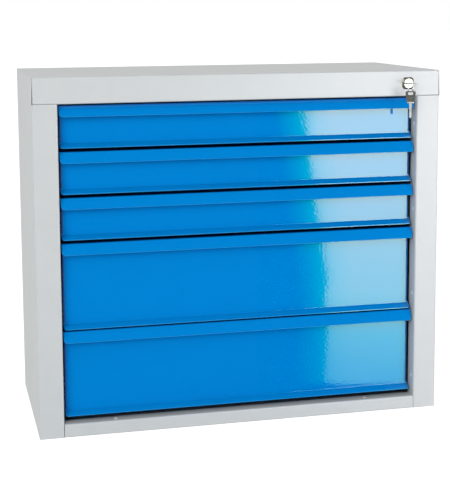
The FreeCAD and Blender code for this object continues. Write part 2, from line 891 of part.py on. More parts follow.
def lock_plug():
    """Turn the plug with its keyway, the square tenon for the cam and the screw's hole."""
    shoulder_y = front_y + housing_length
    plug = rod(plug_radius, Vector(lock_x, plug_face_y, lock_z), Vector(lock_x, shoulder_y, lock_z))
    half = tenon_size / 2
    tenon = block((lock_x - half, lock_x + half), (shoulder_y, cam_rear_y), (lock_z - half, lock_z + half))
    key_half = key_blade_width / 2 + keyway_clearance
    key_depth = key_blade_length + key_collar_length
    key_rise = key_thickness / 2 + keyway_clearance
    keyway = block(
        (lock_x - key_half, lock_x + key_half),
        (plug_face_y - cut_overrun, plug_face_y + key_depth),
        (lock_z - key_rise, lock_z + key_rise),
    )
    hole_radius = cam_screw_radius + screw_hole_clearance
    hole_end = Vector(lock_x, cam_rear_y + cut_overrun, lock_z)
    hole = rod(hole_radius, Vector(lock_x, cam_rear_y - cam_screw_length, lock_z), hole_end)
    return joined(plug, [tenon]).cut([keyway, hole])


def lock_cam():
    """Make the cam on the plug's tenon, with the crank pin that lifts the bar."""
    pin_x = lock_x + crank_offset
    pin_z = lock_z - crank_offset
    hub_radius = tenon_size / math.sqrt(2) + cam_wall / 2
    tip_radius = crank_pin_radius + cam_wall / 2
    front = Vector(0, cam_front_y, 0)
    rear = Vector(0, cam_rear_y, 0)
    hub_place = Vector(lock_x, 0, lock_z)
    pin_place = Vector(pin_x, 0, pin_z)
    hub = rod(hub_radius, hub_place + front, hub_place + rear)
    tip = rod(tip_radius, pin_place + front, pin_place + rear)
    across = tip_radius / math.sqrt(2)
    arm_outline = [
        (lock_x + across, lock_z + across),
        (lock_x - across, lock_z - across),
        (pin_x - across, pin_z - across),
        (pin_x + across, pin_z + across),
    ]
    arm = plate(arm_outline, [0] * len(arm_outline), elevation_at(cam_front_y), rear - front)
    pin_end = Vector(0, bar_rear_y + crank_pin_overrun, 0)
    pin = rod(crank_pin_radius, pin_place + front, pin_place + pin_end)
    half = tenon_size / 2 + keyway_clearance / 2
    square = block(
        (lock_x - half, lock_x + half),
        (cam_front_y - cut_overrun, cam_rear_y + cut_overrun),
        (lock_z - half, lock_z + half),
    )
    return joined(hub, [tip, arm, pin]).cut(square)


def cam_screw():
    """Make the screw that holds the cam on the plug."""
    seat = Vector(lock_x, cam_rear_y, lock_z)
    head = rod(cam_screw_head_radius, seat, seat + Vector(0, cam_screw_head_height, 0))
    return joined(head, [rod(cam_screw_radius, seat - Vector(0, cam_screw_length - screw_end, 0), seat)])


def key_bow_end():
    """Give how far forward the key's bow reaches."""
    return plug_face_y - key_collar_length - key_bow_length


def lock_key():
    """Cut the key that stands in the lock with its bow level, and its slot for the ring."""
    shoulder_y = plug_face_y
    collar_y = shoulder_y - key_collar_length
    bow_end_y = key_bow_end()
    end_half = key_bow_end_width / 2
    shoulder_half = key_bow_shoulder_width / 2
    collar_half = key_collar_width / 2
    blade_half = key_blade_width / 2
    tip_y = shoulder_y + key_blade_length
    right = [
        (end_half, bow_end_y, key_corner_radius),
        (shoulder_half, collar_y, key_collar_length / 2),
        (collar_half, collar_y, 0),
        (collar_half, shoulder_y, 0),
        (blade_half, shoulder_y, 0),
        (blade_half, tip_y - blade_half, 0),
        (0, tip_y, 0),
    ]
    left = [(-x, y, radius) for x, y, radius in right[-2::-1]]
    points = [(lock_x + x, y) for x, y, radius in right + left]
    radii = [radius for x, y, radius in right + left]
    low = lock_z - key_thickness / 2
    key = plate(points, radii, plan_at(low), Vector(0, 0, key_thickness))
    slot_y = bow_end_y + key_slot_inset
    slot_half = key_slot_length / 2
    slot_rise = key_slot_width / 2
    slot_points = [
        (lock_x - slot_half, slot_y - slot_rise),
        (lock_x + slot_half, slot_y - slot_rise),
        (lock_x + slot_half, slot_y + slot_rise),
        (lock_x - slot_half, slot_y + slot_rise),
    ]
    slot_radius = slot_rise * key_slot_corner_share
    through = Vector(0, 0, key_thickness + 2 * cut_overrun)
    slot = plate(slot_points, [slot_radius] * 4, plan_at(low - cut_overrun), through)
    return key.cut(slot)


def key_ring():
    """Bend the ring that hangs through the key's slot."""
    hang = ring_radius - ring_wire_radius - key_thickness / 2 - ring_rest_clearance
    reach = math.sqrt(ring_radius**2 - hang**2)
    swing = math.radians(ring_swing_degrees)
    slot_y = key_bow_end() + key_slot_inset
    centre = Vector(lock_x - reach * math.sin(swing), slot_y - reach * math.cos(swing), lock_z - hang)
    axis = Vector(-math.cos(swing), math.sin(swing), 0)
    corners = []
    for index in range(ring_wire_sides + 1):
        angle = math.tau * (index % ring_wire_sides) / ring_wire_sides
        rise = Vector(0, 0, ring_radius + ring_wire_radius * math.cos(angle))
        corners.append(centre + rise + axis * (ring_wire_radius * math.sin(angle)))
    return Part.Face(Part.makePolygon(corners)).revolve(centre, axis, ring_sweep_degrees)


def lock_bar():
    """Cut the locking bar from flat strip: a stem, a catch for each drawer and the yoke."""
    y_range = (bar_front_y, bar_rear_y)
    rows = drawer_rows()
    lowest = catch_range(rows[-1])[0] - bar_end_margin
    yoke_z = lock_z - crank_offset
    slot_half = crank_pin_radius + yoke_clearance
    yoke_half = slot_half + yoke_wall
    stem = block((bar_near_x, bar_far_x), y_range, (lowest, yoke_z + yoke_half))
    catch_x = upright_face - catch_reach
    catches = [block((catch_x, bar_near_x), y_range, catch_range(row)) for row in rows]
    slot_left = lock_x + crank_offset - yoke_end_clearance
    slot_right = lock_x + crank_radius + yoke_end_clearance
    arm_x = (slot_left - yoke_half, bar_near_x)
    arm = block(arm_x, y_range, (yoke_z - yoke_half, yoke_z + yoke_half))
    bar = joined(stem, catches + [arm])
    slot_y = (bar_front_y - cut_overrun, bar_rear_y + cut_overrun)
    ends = []
    for x in (slot_left, slot_right):
        ends.append(rod(slot_half, Vector(x, slot_y[0], yoke_z), Vector(x, slot_y[1], yoke_z)))
    slot = block((slot_left, slot_right), slot_y, (yoke_z - slot_half, yoke_z + slot_half))
    return bar.cut([slot.fuse(ends)])


def lock_bar_guides():
    """Make the two guides on the upright that the bar slides in, between pairs of catches."""
    rows = drawer_rows()
    guides = []
    for upper, lower in ((rows[0], rows[1]), (rows[-2], rows[-1])):
        middle = (catch_range(upper)[0] + catch_range(lower)[1]) / 2
        z_range = (middle - guide_height / 2, middle + guide_height / 2)
        near_x = upright_face + upright_sheet
        body = block(
            (near_x, bar_far_x + guide_clearance + guide_wall),
            (bar_front_y - guide_clearance - guide_wall, bar_rear_y + guide_clearance + guide_wall),
            z_range,
        )
        channel = block(
            (bar_near_x - guide_clearance, bar_far_x + guide_clearance),
            (bar_front_y - guide_clearance, bar_rear_y + guide_clearance),
            (z_range[0] - cut_overrun, z_range[1] + cut_overrun),
        )
        guides.append(body.cut(channel))
    return guides


def build_nodes():
    """Make every sub-part and give each node its solids."""
    rows = drawer_rows()
    side = right_side_panel()
    upright = front_upright()
    rear = rear_upright()
    stile_grip = carcass_sheet + upright_sheet
    stile_rivets = [rivet(seat, Vector(1, 0, 0), stile_grip) for seat in stile_rivet_seats()]
    back_rivets = [rivet(seat, Vector(0, -1, 0), 2 * carcass_sheet) for seat in back_rivet_seats()]
    nodes = {
        "left_side_panel": [mirrored(side)],
        "right_side_panel": [side],
        "top_cover": [top_cover()],
        "bottom_panel": [bottom_panel()],
        "back_panel": [back_panel()],
        "front_upright_left": [mirrored(upright)],
        "front_upright_right": [barred_upright()],
        "rear_upright_left": [mirrored(rear)],
        "rear_upright_right": [rear],
        "sill_brackets": sill_brackets(),
        "stile_rivets": both_sides(stile_rivets),
        "sill_rivets": [rivet(seat, Vector(0, 0, -1), 2 * carcass_sheet) for seat in sill_rivet_seats()],
        "back_rivets": both_sides(back_rivets),
        "slide_screws": both_sides([slide_screw(seat) for seat in screw_seats(True) + screw_seats(False)]),
        "lock_housing": [lock_housing()],
        "lock_nut": [lock_nut()],
        "lock_bar_guides": lock_bar_guides(),
        "lock_plug": [lock_plug()],
        "lock_cam": [lock_cam()],
        "cam_screw": [cam_screw()],
        "lock_key": [lock_key()],
        "key_ring": [key_ring()],
        "lock_bar": [lock_bar()],
    }
    for number, row in enumerate(rows, start=1):
        nodes[f"cabinet_slides_{number}"] = both_sides([cabinet_member(row)])
        nodes[f"middle_slides_{number}"] = both_sides([middle_member(row)])
        nodes[f"ball_cages_{number}"] = both_sides(ball_cages(row))
        nodes[f"drawer_{number}_slides"] = both_sides([drawer_member(row)])
        nodes[f"drawer_{number}_front"] = [drawer_front(row)]
        nodes[f"drawer_{number}_tray"] = [drawer_tray(row)]
        nodes[f"drawer_{number}_back"] = [drawer_back(row)]
    return nodes


def main():
    """Write one STEP file for each node."""
    os.makedirs("parts", exist_ok=True)
    for name, solids in build_nodes().items():
        shape = solids[0] if len(solids) == 1 else Part.makeCompound(solids)
        shape.exportStep(f"parts/{name}.step")


main()
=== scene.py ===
import json
import math

import bpy
from mathutils import Matrix, Vector


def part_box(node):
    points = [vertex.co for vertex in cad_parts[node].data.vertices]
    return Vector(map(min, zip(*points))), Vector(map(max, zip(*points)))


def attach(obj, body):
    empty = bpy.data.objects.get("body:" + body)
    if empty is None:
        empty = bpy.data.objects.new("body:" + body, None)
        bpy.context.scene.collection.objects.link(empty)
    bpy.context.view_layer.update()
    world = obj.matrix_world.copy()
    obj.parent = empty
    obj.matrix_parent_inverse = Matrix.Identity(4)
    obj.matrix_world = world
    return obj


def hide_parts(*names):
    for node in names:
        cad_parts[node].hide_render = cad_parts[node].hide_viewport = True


bl_info = {
    "name": "Reagent Drawer Cabinet",
    "version": (1, 0, 0),
    "blender": (4, 5, 0),
    "location": "View3D > Sidebar > Cabinet",
    "description": "Finishes the sheet-steel drawer cabinet and sets up its studio",
    "category": "Object",
}

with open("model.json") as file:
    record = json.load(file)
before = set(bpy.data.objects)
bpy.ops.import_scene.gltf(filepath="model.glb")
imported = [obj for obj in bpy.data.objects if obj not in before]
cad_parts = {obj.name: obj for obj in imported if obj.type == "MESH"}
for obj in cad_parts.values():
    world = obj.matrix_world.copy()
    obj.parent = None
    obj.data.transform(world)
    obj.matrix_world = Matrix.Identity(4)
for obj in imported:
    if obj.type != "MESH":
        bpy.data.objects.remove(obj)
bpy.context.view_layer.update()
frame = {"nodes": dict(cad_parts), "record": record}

MM = 0.001
WELD_DISTANCE = 0.004 * MM
FLAT_ANGLE = math.radians(0.6)
CREASE_ANGLE = math.radians(34)
STEPPED_BEND_CREASE = math.radians(50)
BALL_CREASE = math.radians(60)
EDGE_MARGIN = math.radians(4)
FACE_WEIGHT = 70
FASTENER_HEAD_SHARE = 0.24
DRAWERS = range(1, 6)
BODY_OF_NODE = {
    node: body for body, nodes in frame["record"]["behaviour"]["bodies"].items() for node in nodes
}


# Sizes and colours that a user would change


class CabinetPaint(bpy.types.PropertyGroup):
    """Colours of the cabinet's coats and metals."""

    carcass: bpy.props.FloatVectorProperty(
        name="Carcass coat", description="Light grey of the carcass", subtype="COLOR",
        default=(0.605, 0.645, 0.640), min=0, max=1,
    )
    drawer: bpy.props.FloatVectorProperty(
        name="Drawer coat", description="Blue of the drawers", subtype="COLOR",
        default=(0.0, 0.243, 0.68), min=0, max=1,
    )
    zinc: bpy.props.FloatVectorProperty(
        name="Zinc", description="Zinc plate of the uprights and the locking bar", subtype="COLOR",
        default=(0.50, 0.52, 0.54), min=0, max=1,
    )
    slide: bpy.props.FloatVectorProperty(
        name="Slide steel", description="Bright plate of the ball slides", subtype="COLOR",
        default=(0.60, 0.62, 0.64), min=0, max=1,
    )
    chrome: bpy.props.FloatVectorProperty(
        name="Chrome", description="Plating of the lock's plug, the ring and the balls", subtype="COLOR",
        default=(0.62, 0.62, 0.61), min=0, max=1,
    )
    nickel: bpy.props.FloatVectorProperty(
        name="Nickel", description="Dull plating of the lock's bezel, nut and cam", subtype="COLOR",
        default=(0.40, 0.375, 0.31), min=0, max=1,
    )
    # Darker than the blade's metal, this colour is painted shade that stands in for the dim room that the
    # bows reflect
    bow: bpy.props.FloatVectorProperty(
        name="Key metal, painted darker", description="Darkened metal of both keys, as painted shade", subtype="COLOR",
        default=(0.20, 0.185, 0.155), min=0, max=1,
    )
    blade: bpy.props.FloatVectorProperty(
        name="Key blade", description="Bare nickel silver of the spare key's blade", subtype="COLOR",
        default=(0.80, 0.77, 0.69), min=0, max=1,
    )
    rivet: bpy.props.FloatVectorProperty(
        name="Rivets", description="Aluminium of the rivets", subtype="COLOR",
        default=(0.86, 0.88, 0.89), min=0, max=1,
    )


class CabinetSizes(bpy.types.PropertyGroup):
    """Sizes of the finishing details."""

    sheet_edge: bpy.props.FloatProperty(
        name="Sheet edge", description="Rounding of the sheet's cut edges", unit="LENGTH",
        default=0.14 * MM, min=0,
    )
    small_edge: bpy.props.FloatProperty(
        name="Small edge", description="Rounding on the lock, keys and slides", unit="LENGTH",
        default=0.15 * MM, min=0,
    )
    seam_fill: bpy.props.FloatProperty(
        name="Seam fill", description="How far the coat closes the seam under the top rail", unit="LENGTH",
        default=0.40 * MM, min=0,
    )
    rivet_mandrel: bpy.props.FloatProperty(
        name="Rivet mandrel", description="Radius of the mandrel left in a rivet's head", unit="LENGTH",
        default=1.1 * MM, min=0,
    )
    ball_radius: bpy.props.FloatProperty(
        name="Slide ball", description="Radius of the balls in the slides", unit="LENGTH",
        default=1.65 * MM, min=0,
    )
    ball_pitch: bpy.props.FloatProperty(
        name="Ball pitch", description="Distance between the balls of a cage", unit="LENGTH",
        default=9.5 * MM, min=0,
    )


class CabinetStudio(bpy.types.PropertyGroup):
    """Camera and light."""

    camera_place: bpy.props.FloatVectorProperty(
        name="Camera place", description="Where the camera stands", subtype="TRANSLATION",
        default=(-0.508, -2.139, 0.709),
    )
    camera_turn: bpy.props.FloatVectorProperty(
        name="Camera turn", description="Pitch down, turn to the right and roll", subtype="EULER",
        default=(math.radians(7.075), math.radians(13.519), math.radians(0.343)),
    )
    camera_lens: bpy.props.FloatProperty(
        name="Lens", description="Focal length in millimetres", default=88.43, min=1,
    )
    camera_shift: bpy.props.FloatProperty(
        name="Lens shift", description="Upward shift of the lens", default=-0.18,
    )
    key_power: bpy.props.FloatProperty(
        name="Key light", description="Power of the large light on the left", default=56.0, min=0,
    )
    ambient: bpy.props.FloatProperty(
        name="Room light", description="Strength of the even light from the room", default=0.60, min=0,
    )
    softbox_glow: bpy.props.FloatProperty(
        name="Softbox glow", description="Brightness of the softbox in the gloss", default=9.0, min=0,
    )
    fill_power: bpy.props.FloatProperty(
        name="Fill light", description="Power of the low light on the right", default=12.0, min=0,
    )


# Making and finishing meshes


def select_only(obj):
    """Select one object and make it active."""
    bpy.ops.object.select_all(action="DESELECT")
    obj.select_set(True)
    bpy.context.view_layer.objects.active = obj


def settle(obj):
    """Move an object's place into its mesh, so that the object sits at the origin."""
    select_only(obj)
    bpy.ops.object.transform_apply(location=True, rotation=True, scale=True)


def apply_modifier(obj, kind, **settings):
    """Add a modifier to an object and apply it."""
    modifier = obj.modifiers.new(kind.title(), kind)
    for key, value in settings.items():
        setattr(modifier, key, value)
    select_only(obj)
    bpy.ops.object.modifier_apply(modifier=modifier.name)


def smooth(obj, crease=CREASE_ANGLE):
    """Shade an object smooth between its creases, with its flats kept flat."""
    select_only(obj)
    bpy.ops.object.shade_smooth_by_angle(angle=crease)
    apply_modifier(obj, "WEIGHTED_NORMAL", weight=FACE_WEIGHT, keep_sharp=True)


def round_edges(obj, width, crease=CREASE_ANGLE):
    """Round an object's sharp edges."""
    if width > 0:
        apply_modifier(
            obj, "BEVEL", width=width, segments=2, limit_method="ANGLE",
            angle_limit=crease + EDGE_MARGIN, use_clamp_overlap=True,
        )


def joined(objects, name):
    """Join objects into one."""
    select_only(objects[0])
    for obj in objects[1:]:
        obj.select_set(True)
    bpy.ops.object.join()
    objects[0].name = name
    objects[0].data.name = name
    return objects[0]


def new_object(name, data):
    """Put a new object with the given data into the scene."""
    obj = bpy.data.objects.new(name, data)
    bpy.context.scene.collection.objects.link(obj)
    return obj


def node_copy(node, name):
    """Copy a carried-over part's mesh into a new object and weld its triangles together."""
    source = frame["nodes"][node]
    obj = new_object(name, source.data.copy())
    obj.data.materials.clear()
    obj.matrix_world = source.matrix_world.copy()
    settle(obj)
    bpy.ops.object.mode_set(mode="EDIT")
    bpy.ops.mesh.select_all(action="SELECT")
    bpy.ops.mesh.remove_doubles(threshold=WELD_DISTANCE)
    bpy.ops.mesh.dissolve_limited(angle_limit=FLAT_ANGLE)
    bpy.ops.object.mode_set(mode="OBJECT")
    return obj


def dress(obj, finish, node, slot=None):
    """Give a piece its finish and its body. The slot, named after the finish if not given, is not used."""
    slot = slot or finish
    obj.data.materials.clear()
    obj.data.materials.append(material_for(finish))
    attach(obj, BODY_OF_NODE[node])


def finish_node(node, finish, edge, crease=CREASE_ANGLE, slot=None):
    """Replace a carried-over part by a copy with rounded edges, smooth bends and its finish."""
    obj = node_copy(node, node + "_finished")
    round_edges(obj, edge, crease)
    smooth(obj, crease)
    dress(obj, finish, node, slot)
    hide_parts(node)


def duplicate(obj, name, matrix):
    """Copy an object with its own mesh and move the copy's mesh by a matrix."""
    twin = new_object(name, obj.data.copy())
    twin.data.transform(matrix)
    return twin


def copies(obj, matrices, name):
    """Set out copies of a modelled piece, join them and delete the pattern."""
    made = [duplicate(obj, name, matrix) for matrix in matrices]
    bpy.data.objects.remove(obj, do_unlink=True)
    return joined(made, name)


def node_box(node):
    """Give the lowest and highest corner of a node."""
    low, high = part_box(node)
    return Vector(low), Vector(high)


def mesh_box(obj):
    """Give the lowest and highest corner of an object's mesh."""
    places = [vertex.co for vertex in obj.data.vertices]
    low = Vector([min(place[axis] for place in places) for axis in range(3)])
    high = Vector([max(place[axis] for place in places) for axis in range(3)])
    return low, high


def solid_boxes(node):
    """Give the lowest and highest corner of each separate solid of a node."""
    probe = node_copy(node, node + "_probe")
    select_only(probe)
    bpy.ops.mesh.separate(type="LOOSE")
    boxes = []
    for part in list(bpy.context.selected_objects):
        boxes.append(mesh_box(part))
        bpy.data.objects.remove(part, do_unlink=True)
    return sorted(boxes, key=lambda box: tuple(round(value, 4) for value in box[0]))


def pointing(direction):
    """Give the turn that points a piece's Z axis in a direction."""
    return direction.to_track_quat("Z", "Y").to_matrix().to_4x4()


def added(primitive, **values):
    """Add a primitive with nothing else selected, and give its object."""
    bpy.ops.object.select_all(action="DESELECT")
    primitive(**values)
    return bpy.context.active_object


def turned_piece(name, profile, segments):
    """Shape a round piece along Z from (height, radius) steps, by extruding and scaling its end."""
    height, radius = profile[0]
    obj = added(
        bpy.ops.mesh.primitive_circle_add,
        vertices=segments, radius=radius, fill_type="NGON", location=(0, 0, height),
    )
    obj.name = name
    settle(obj)
    bpy.ops.object.mode_set(mode="EDIT")
    bpy.ops.mesh.select_all(action="SELECT")
    for next_height, next_radius in profile[1:]:
        bpy.ops.mesh.extrude_region_move(TRANSFORM_OT_translate={"value": (0, 0, next_height - height)})
        share = next_radius / radius
        bpy.ops.transform.resize(value=(share, share, 1), center_override=(0, 0, next_height))
        height, radius = next_height, next_radius
    bpy.ops.mesh.select_all(action="SELECT")
    bpy.ops.mesh.normals_make_consistent(inside=False)
    bpy.ops.object.mode_set(mode="OBJECT")
    return obj


def block(name, low, high):
    """Add a box between two corners, as a cutter or as the start of a piece."""
    low, high = Vector(low), Vector(high)
    obj = added(bpy.ops.mesh.primitive_cube_add, size=1, location=(low + high) / 2, scale=high - low)
    obj.name = name
    settle(obj)
    return obj


def cut(obj, cutter):
    """Cut one object out of another and delete the cutter."""
    apply_modifier(obj, "BOOLEAN", object=cutter, operation="DIFFERENCE", solver="EXACT")
    bpy.data.objects.remove(cutter, do_unlink=True)


def set_fasteners(node, axis, pattern, finish):
    """Set a modelled rivet or screw at each of a node's solids, pointing along an axis."""
    boxes = solid_boxes(node)
    index = "XYZ".index(axis)
    size = boxes[0][1] - boxes[0][0]
    reach = size[index]
    width = max(size[other] for other in range(3) if other != index)
    seats = []
    for low, high in boxes:
        middle = (low + high) / 2
        outward = Vector((0, 0, 0))
        outward[index] = -math.copysign(1, middle.x) if axis == "X" else 1
        seat = middle + outward * (reach / 2 - reach * FASTENER_HEAD_SHARE)
        seats.append(Matrix.Translation(seat) @ pointing(outward))
    piece = copies(pattern(reach, width), seats, node + "_finished")
    smooth(piece)
    dress(piece, finish, node)
    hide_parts(node)


# Shader node groups that the materials share


def new_group(name, inputs, outputs):
    """Start a shader node group with its sockets."""
    group = bpy.data.node_groups.new(name, "ShaderNodeTree")
    for socket_name, socket_type, default in inputs:
        socket = group.interface.new_socket(socket_name, in_out="INPUT", socket_type=socket_type)
        socket.default_value = default
    for socket_name, socket_type in outputs:
        group.interface.new_socket(socket_name, in_out="OUTPUT", socket_type=socket_type)
    return group, group.nodes.new("NodeGroupInput"), group.nodes.new("NodeGroupOutput")


def set_inputs(node, values):
    """Set the values of a node's unlinked inputs."""
    for key, value in values.items():
        node.inputs[key].default_value = value


def add_node(tree, kind, settings=None, values=None):
    """Add a node with its settings and the values of its unlinked inputs."""
    node = tree.nodes.new(kind)
    for key, value in (settings or {}).items():
        setattr(node, key, value)
    set_inputs(node, values or {})
    return node


def connect(tree, *links):
    """Link nodes, each row giving a node, its output, the next node and its input."""
    for source, output, target, slot in links:
        tree.links.new(source.outputs[output], target.inputs[slot])


def coat_group():
    """Orange peel, waviness of the sheet and faint mottling of a powder coat."""
    group, entry, leave = new_group(
        "Powder coat skin",
        [
            ("Peel Scale", "NodeSocketFloat", 380.0),
            ("Peel Depth", "NodeSocketFloat", 0.004 * MM),
            ("Wave Scale", "NodeSocketFloat", 9.0),
            ("Wave Depth", "NodeSocketFloat", 0.2 * MM),
        ],
        [("Normal", "NodeSocketVector"), ("Mottle", "NodeSocketFloat")],
    )
    place = add_node(group, "ShaderNodeTexCoord")
    wave = add_node(group, "ShaderNodeTexNoise", values={"Detail": 1.0, "Roughness": 0.4})
    peel = add_node(group, "ShaderNodeTexNoise", values={"Detail": 0.5, "Roughness": 0.4})
    mottle = add_node(
        group, "ShaderNodeTexNoise", values={"Scale": 26.0, "Detail": 4.0, "Roughness": 0.6}
    )
    wave_bump = add_node(group, "ShaderNodeBump", values={"Strength": 1.0})
    peel_bump = add_node(group, "ShaderNodeBump", values={"Strength": 1.0})
    connect(
        group,
        (place, "Object", wave, "Vector"),
        (place, "Object", peel, "Vector"),
        (place, "Object", mottle, "Vector"),
        (entry, "Wave Scale", wave, "Scale"),
        (entry, "Peel Scale", peel, "Scale"),
        (wave, "Fac", wave_bump, "Height"),
        (entry, "Wave Depth", wave_bump, "Distance"),
        (peel, "Fac", peel_bump, "Height"),
        (entry, "Peel Depth", peel_bump, "Distance"),
        (wave_bump, "Normal", peel_bump, "Normal"),
        (peel_bump, "Normal", leave, "Normal"),
        (mottle, "Fac", leave, "Mottle"),
    )
    return group


def edge_group():
    """Mask of the cut edges and folds, where a coat is thin and metal is rubbed, and where the drawers get
    a painted highlight.
    """
    group, entry, leave = new_group(
        "Edge wear and highlight",
        [("Reach", "NodeSocketFloat", 0.5 * MM), ("Gain", "NodeSocketFloat", 5.0)],
        [("Mask", "NodeSocketFloat")],
    )
    rounded = add_node(group, "ShaderNodeBevel", {"samples": 4})
    surface = add_node(group, "ShaderNodeNewGeometry")
    facing = add_node(group, "ShaderNodeVectorMath", {"operation": "DOT_PRODUCT"})
    turned = add_node(group, "ShaderNodeMath", {"operation": "SUBTRACT"}, {0: 1.0})
    place = add_node(group, "ShaderNodeTexCoord")
    patches = add_node(group, "ShaderNodeTexNoise", values={"Scale": 160.0, "Detail": 3.0})
    gained = add_node(group, "ShaderNodeMath", {"operation": "MULTIPLY"})
    broken = add_node(group, "ShaderNodeMath", {"operation": "MULTIPLY", "use_clamp": True})
    connect(
        group,
        (entry, "Reach", rounded, "Radius"),
        (rounded, "Normal", facing, 0),
        (surface, "Normal", facing, 1),
        (facing, "Value", turned, 1),
        (turned, "Value", gained, 0),
        (entry, "Gain", gained, 1),
        (place, "Object", patches, "Vector"),
        (gained, "Value", broken, 0),
        (patches, "Fac", broken, 1),
        (broken, "Value", leave, "Mask"),
    )
    return group


def grain_group():
    """Grain and blotches of a drawn, rolled or cast surface."""
    group, entry, leave = new_group(
        "Metal grain",
        [
            ("Stretch", "NodeSocketVector", (1.0, 0.06, 1.0)),
            ("Grain Scale", "NodeSocketFloat", 900.0),
            ("Grain Depth", "NodeSocketFloat", 0.002 * MM),
        ],
        [("Grain", "NodeSocketFloat"), ("Blotch", "NodeSocketFloat"), ("Normal", "NodeSocketVector")],
    )
    place = add_node(group, "ShaderNodeTexCoord")
    stretch = add_node(group, "ShaderNodeVectorMath", {"operation": "MULTIPLY"})
    grain = add_node(group, "ShaderNodeTexNoise", values={"Detail": 3.0, "Roughness": 0.6})
    blotch = add_node(group, "ShaderNodeTexNoise", values={"Scale": 60.0, "Detail": 3.0})
    bump = add_node(group, "ShaderNodeBump", values={"Strength": 1.0})
    connect(
        group,
        (place, "Object", stretch, 0),
        (entry, "Stretch", stretch, 1),
        (stretch, "Vector", grain, "Vector"),
        (place, "Object", blotch, "Vector"),
        (entry, "Grain Scale", grain, "Scale"),
        (entry, "Grain Depth", bump, "Distance"),
        (grain, "Fac", bump, "Height"),
        (grain, "Fac", leave, "Grain"),
        (blotch, "Fac", leave, "Blotch"),
        (bump, "Normal", leave, "Normal"),
    )
    return group


def shared_group(name):
    """Give a shared node group, made on first use."""
    makers = {"Powder coat skin": coat_group, "Edge wear and highlight": edge_group, "Metal grain": grain_group}
    return bpy.data.node_groups.get(name) or makers[name]()


def use_group(tree, name, values=None):
    """Place a shared group in a material with its own values."""
    return add_node(tree, "ShaderNodeGroup", {"node_tree": shared_group(name)}, values)


def blend_colours(tree, factor, first, second):
    """Mix two plain colours by a factor that changes over the surface."""
    colours = {"A": (*first, 1.0), "B": (*second, 1.0)}
    mix = add_node(tree, "ShaderNodeMix", {"data_type": "RGBA"}, colours)
    tree.links.new(factor, mix.inputs["Factor"])
    return mix.outputs["Result"]


def wear_and_highlight_edges(tree, shader, base, colour, wear):
    """Lay a colour over the base along the edges, which is wear on the carcass and metals and a painted
    highlight on the drawers, and give both to the shader.
    """
    edge_mask = use_group(tree, "Edge wear and highlight", wear)
    edged = add_node(tree, "ShaderNodeMix", {"data_type": "RGBA"}, {"B": (*colour, 1.0)})
    tree.links.new(base, edged.inputs["A"])
    tree.links.new(edge_mask.outputs["Mask"], edged.inputs["Factor"])
    tree.links.new(edged.outputs["Result"], shader.inputs["Base Color"])


def ranged(tree, start, end, dimmest=0.0):
    """Add a node that spreads the values from start to end over the range from dimmest to 1."""
    return add_node(
        tree, "ShaderNodeMapRange", values={"From Min": start, "From Max": end, "To Min": dimmest}
    )


def vary_roughness(tree, shader, value, low, high):
    """Let a value from 0 to 1 set the shader's roughness within a range."""
    node = add_node(tree, "ShaderNodeMapRange", values={"To Min": low, "To Max": high})
    tree.links.new(value, node.inputs["Value"])
    tree.links.new(node.outputs["Result"], shader.inputs["Roughness"])


def shade(colour, share):
    """Give a colour at a share of its brightness."""
    return tuple(min(1.0, channel * share) for channel in colour)


def new_material(name):
    """Start a material and give its tree and its Principled shader."""
    material = bpy.data.materials.new(name)
    material.use_nodes = True
    tree = material.node_tree
    return material, tree, tree.nodes["Principled BSDF"]


# Materials


def carcass_coat(name, colour):
    """Satin light grey powder coat."""
    material, tree, shader = new_material(name)
    skin = use_group(tree, "Powder coat skin", {"Wave Depth": 0.12 * MM, "Peel Depth": 0.004 * MM})
    mottled = blend_colours(tree, skin.outputs["Mottle"], shade(colour, 0.975), shade(colour, 1.025))
    wear_and_highlight_edges(tree, shader, mottled, shade(colour, 1.18), {"Gain": 3.0})
    vary_roughness(tree, shader, skin.outputs["Mottle"], low=0.28, high=0.35)
    tree.links.new(skin.outputs["Normal"], shader.inputs["Normal"])
    set_inputs(shader, {"Specular IOR Level": 0.38, "Specular Tint": (1.0, 0.80, 0.86, 1.0)})
    return material


def drawer_coat(name, colour):
    """Glossy blue powder coat, with painted shade darkening it in nooks and a painted highlight paling it
    along thin edges.
    """
    # Dark blue of the painted shade in nooks
    painted_shade_blue = (0.0, 0.095, 0.40)
    # Pale blue of the painted highlight along the drawers' edges
    painted_highlight_blue = (0.10, 0.52, 0.88)
    material, tree, shader = new_material(name)
    skin = use_group(
        tree, "Powder coat skin",
        {"Peel Scale": 250.0, "Peel Depth": 0.019 * MM, "Wave Scale": 11.0, "Wave Depth": 0.18 * MM},
    )
    mottled = blend_colours(tree, skin.outputs["Mottle"], shade(colour, 0.97), shade(colour, 1.03))
    # Painted shade: ambient occlusion mixes the coat towards the dark blue in nooks, under the lips and
    # beside the stiles
    occlusion_of_nooks = add_node(tree, "ShaderNodeAmbientOcclusion", {"samples": 8}, {"Distance": 20 * MM})
    open_to_light = ranged(tree, start=0.25, end=0.82)
    nook_shaded_coat = add_node(tree, "ShaderNodeMix", {"data_type": "RGBA"}, {"A": (*painted_shade_blue, 1.0)})
    tree.links.new(mottled, nook_shaded_coat.inputs["B"])
    connect(
        tree,
        (occlusion_of_nooks, "AO", open_to_light, "Value"),
        (open_to_light, "Result", nook_shaded_coat, "Factor"),
        (skin, "Normal", shader, "Normal"),
    )
    # Painted highlight: the drawers' edges are paled towards the pale blue
    wear_and_highlight_edges(tree, shader, nook_shaded_coat.outputs["Result"], painted_highlight_blue, {"Gain": 4.0, "Reach": 0.9 * MM})
    vary_roughness(tree, shader, skin.outputs["Mottle"], low=0.012, high=0.02)
    set_inputs(shader, {"Specular IOR Level": 0.62, "Specular Tint": (1.0, 0.97, 0.5, 1.0)})
    return material


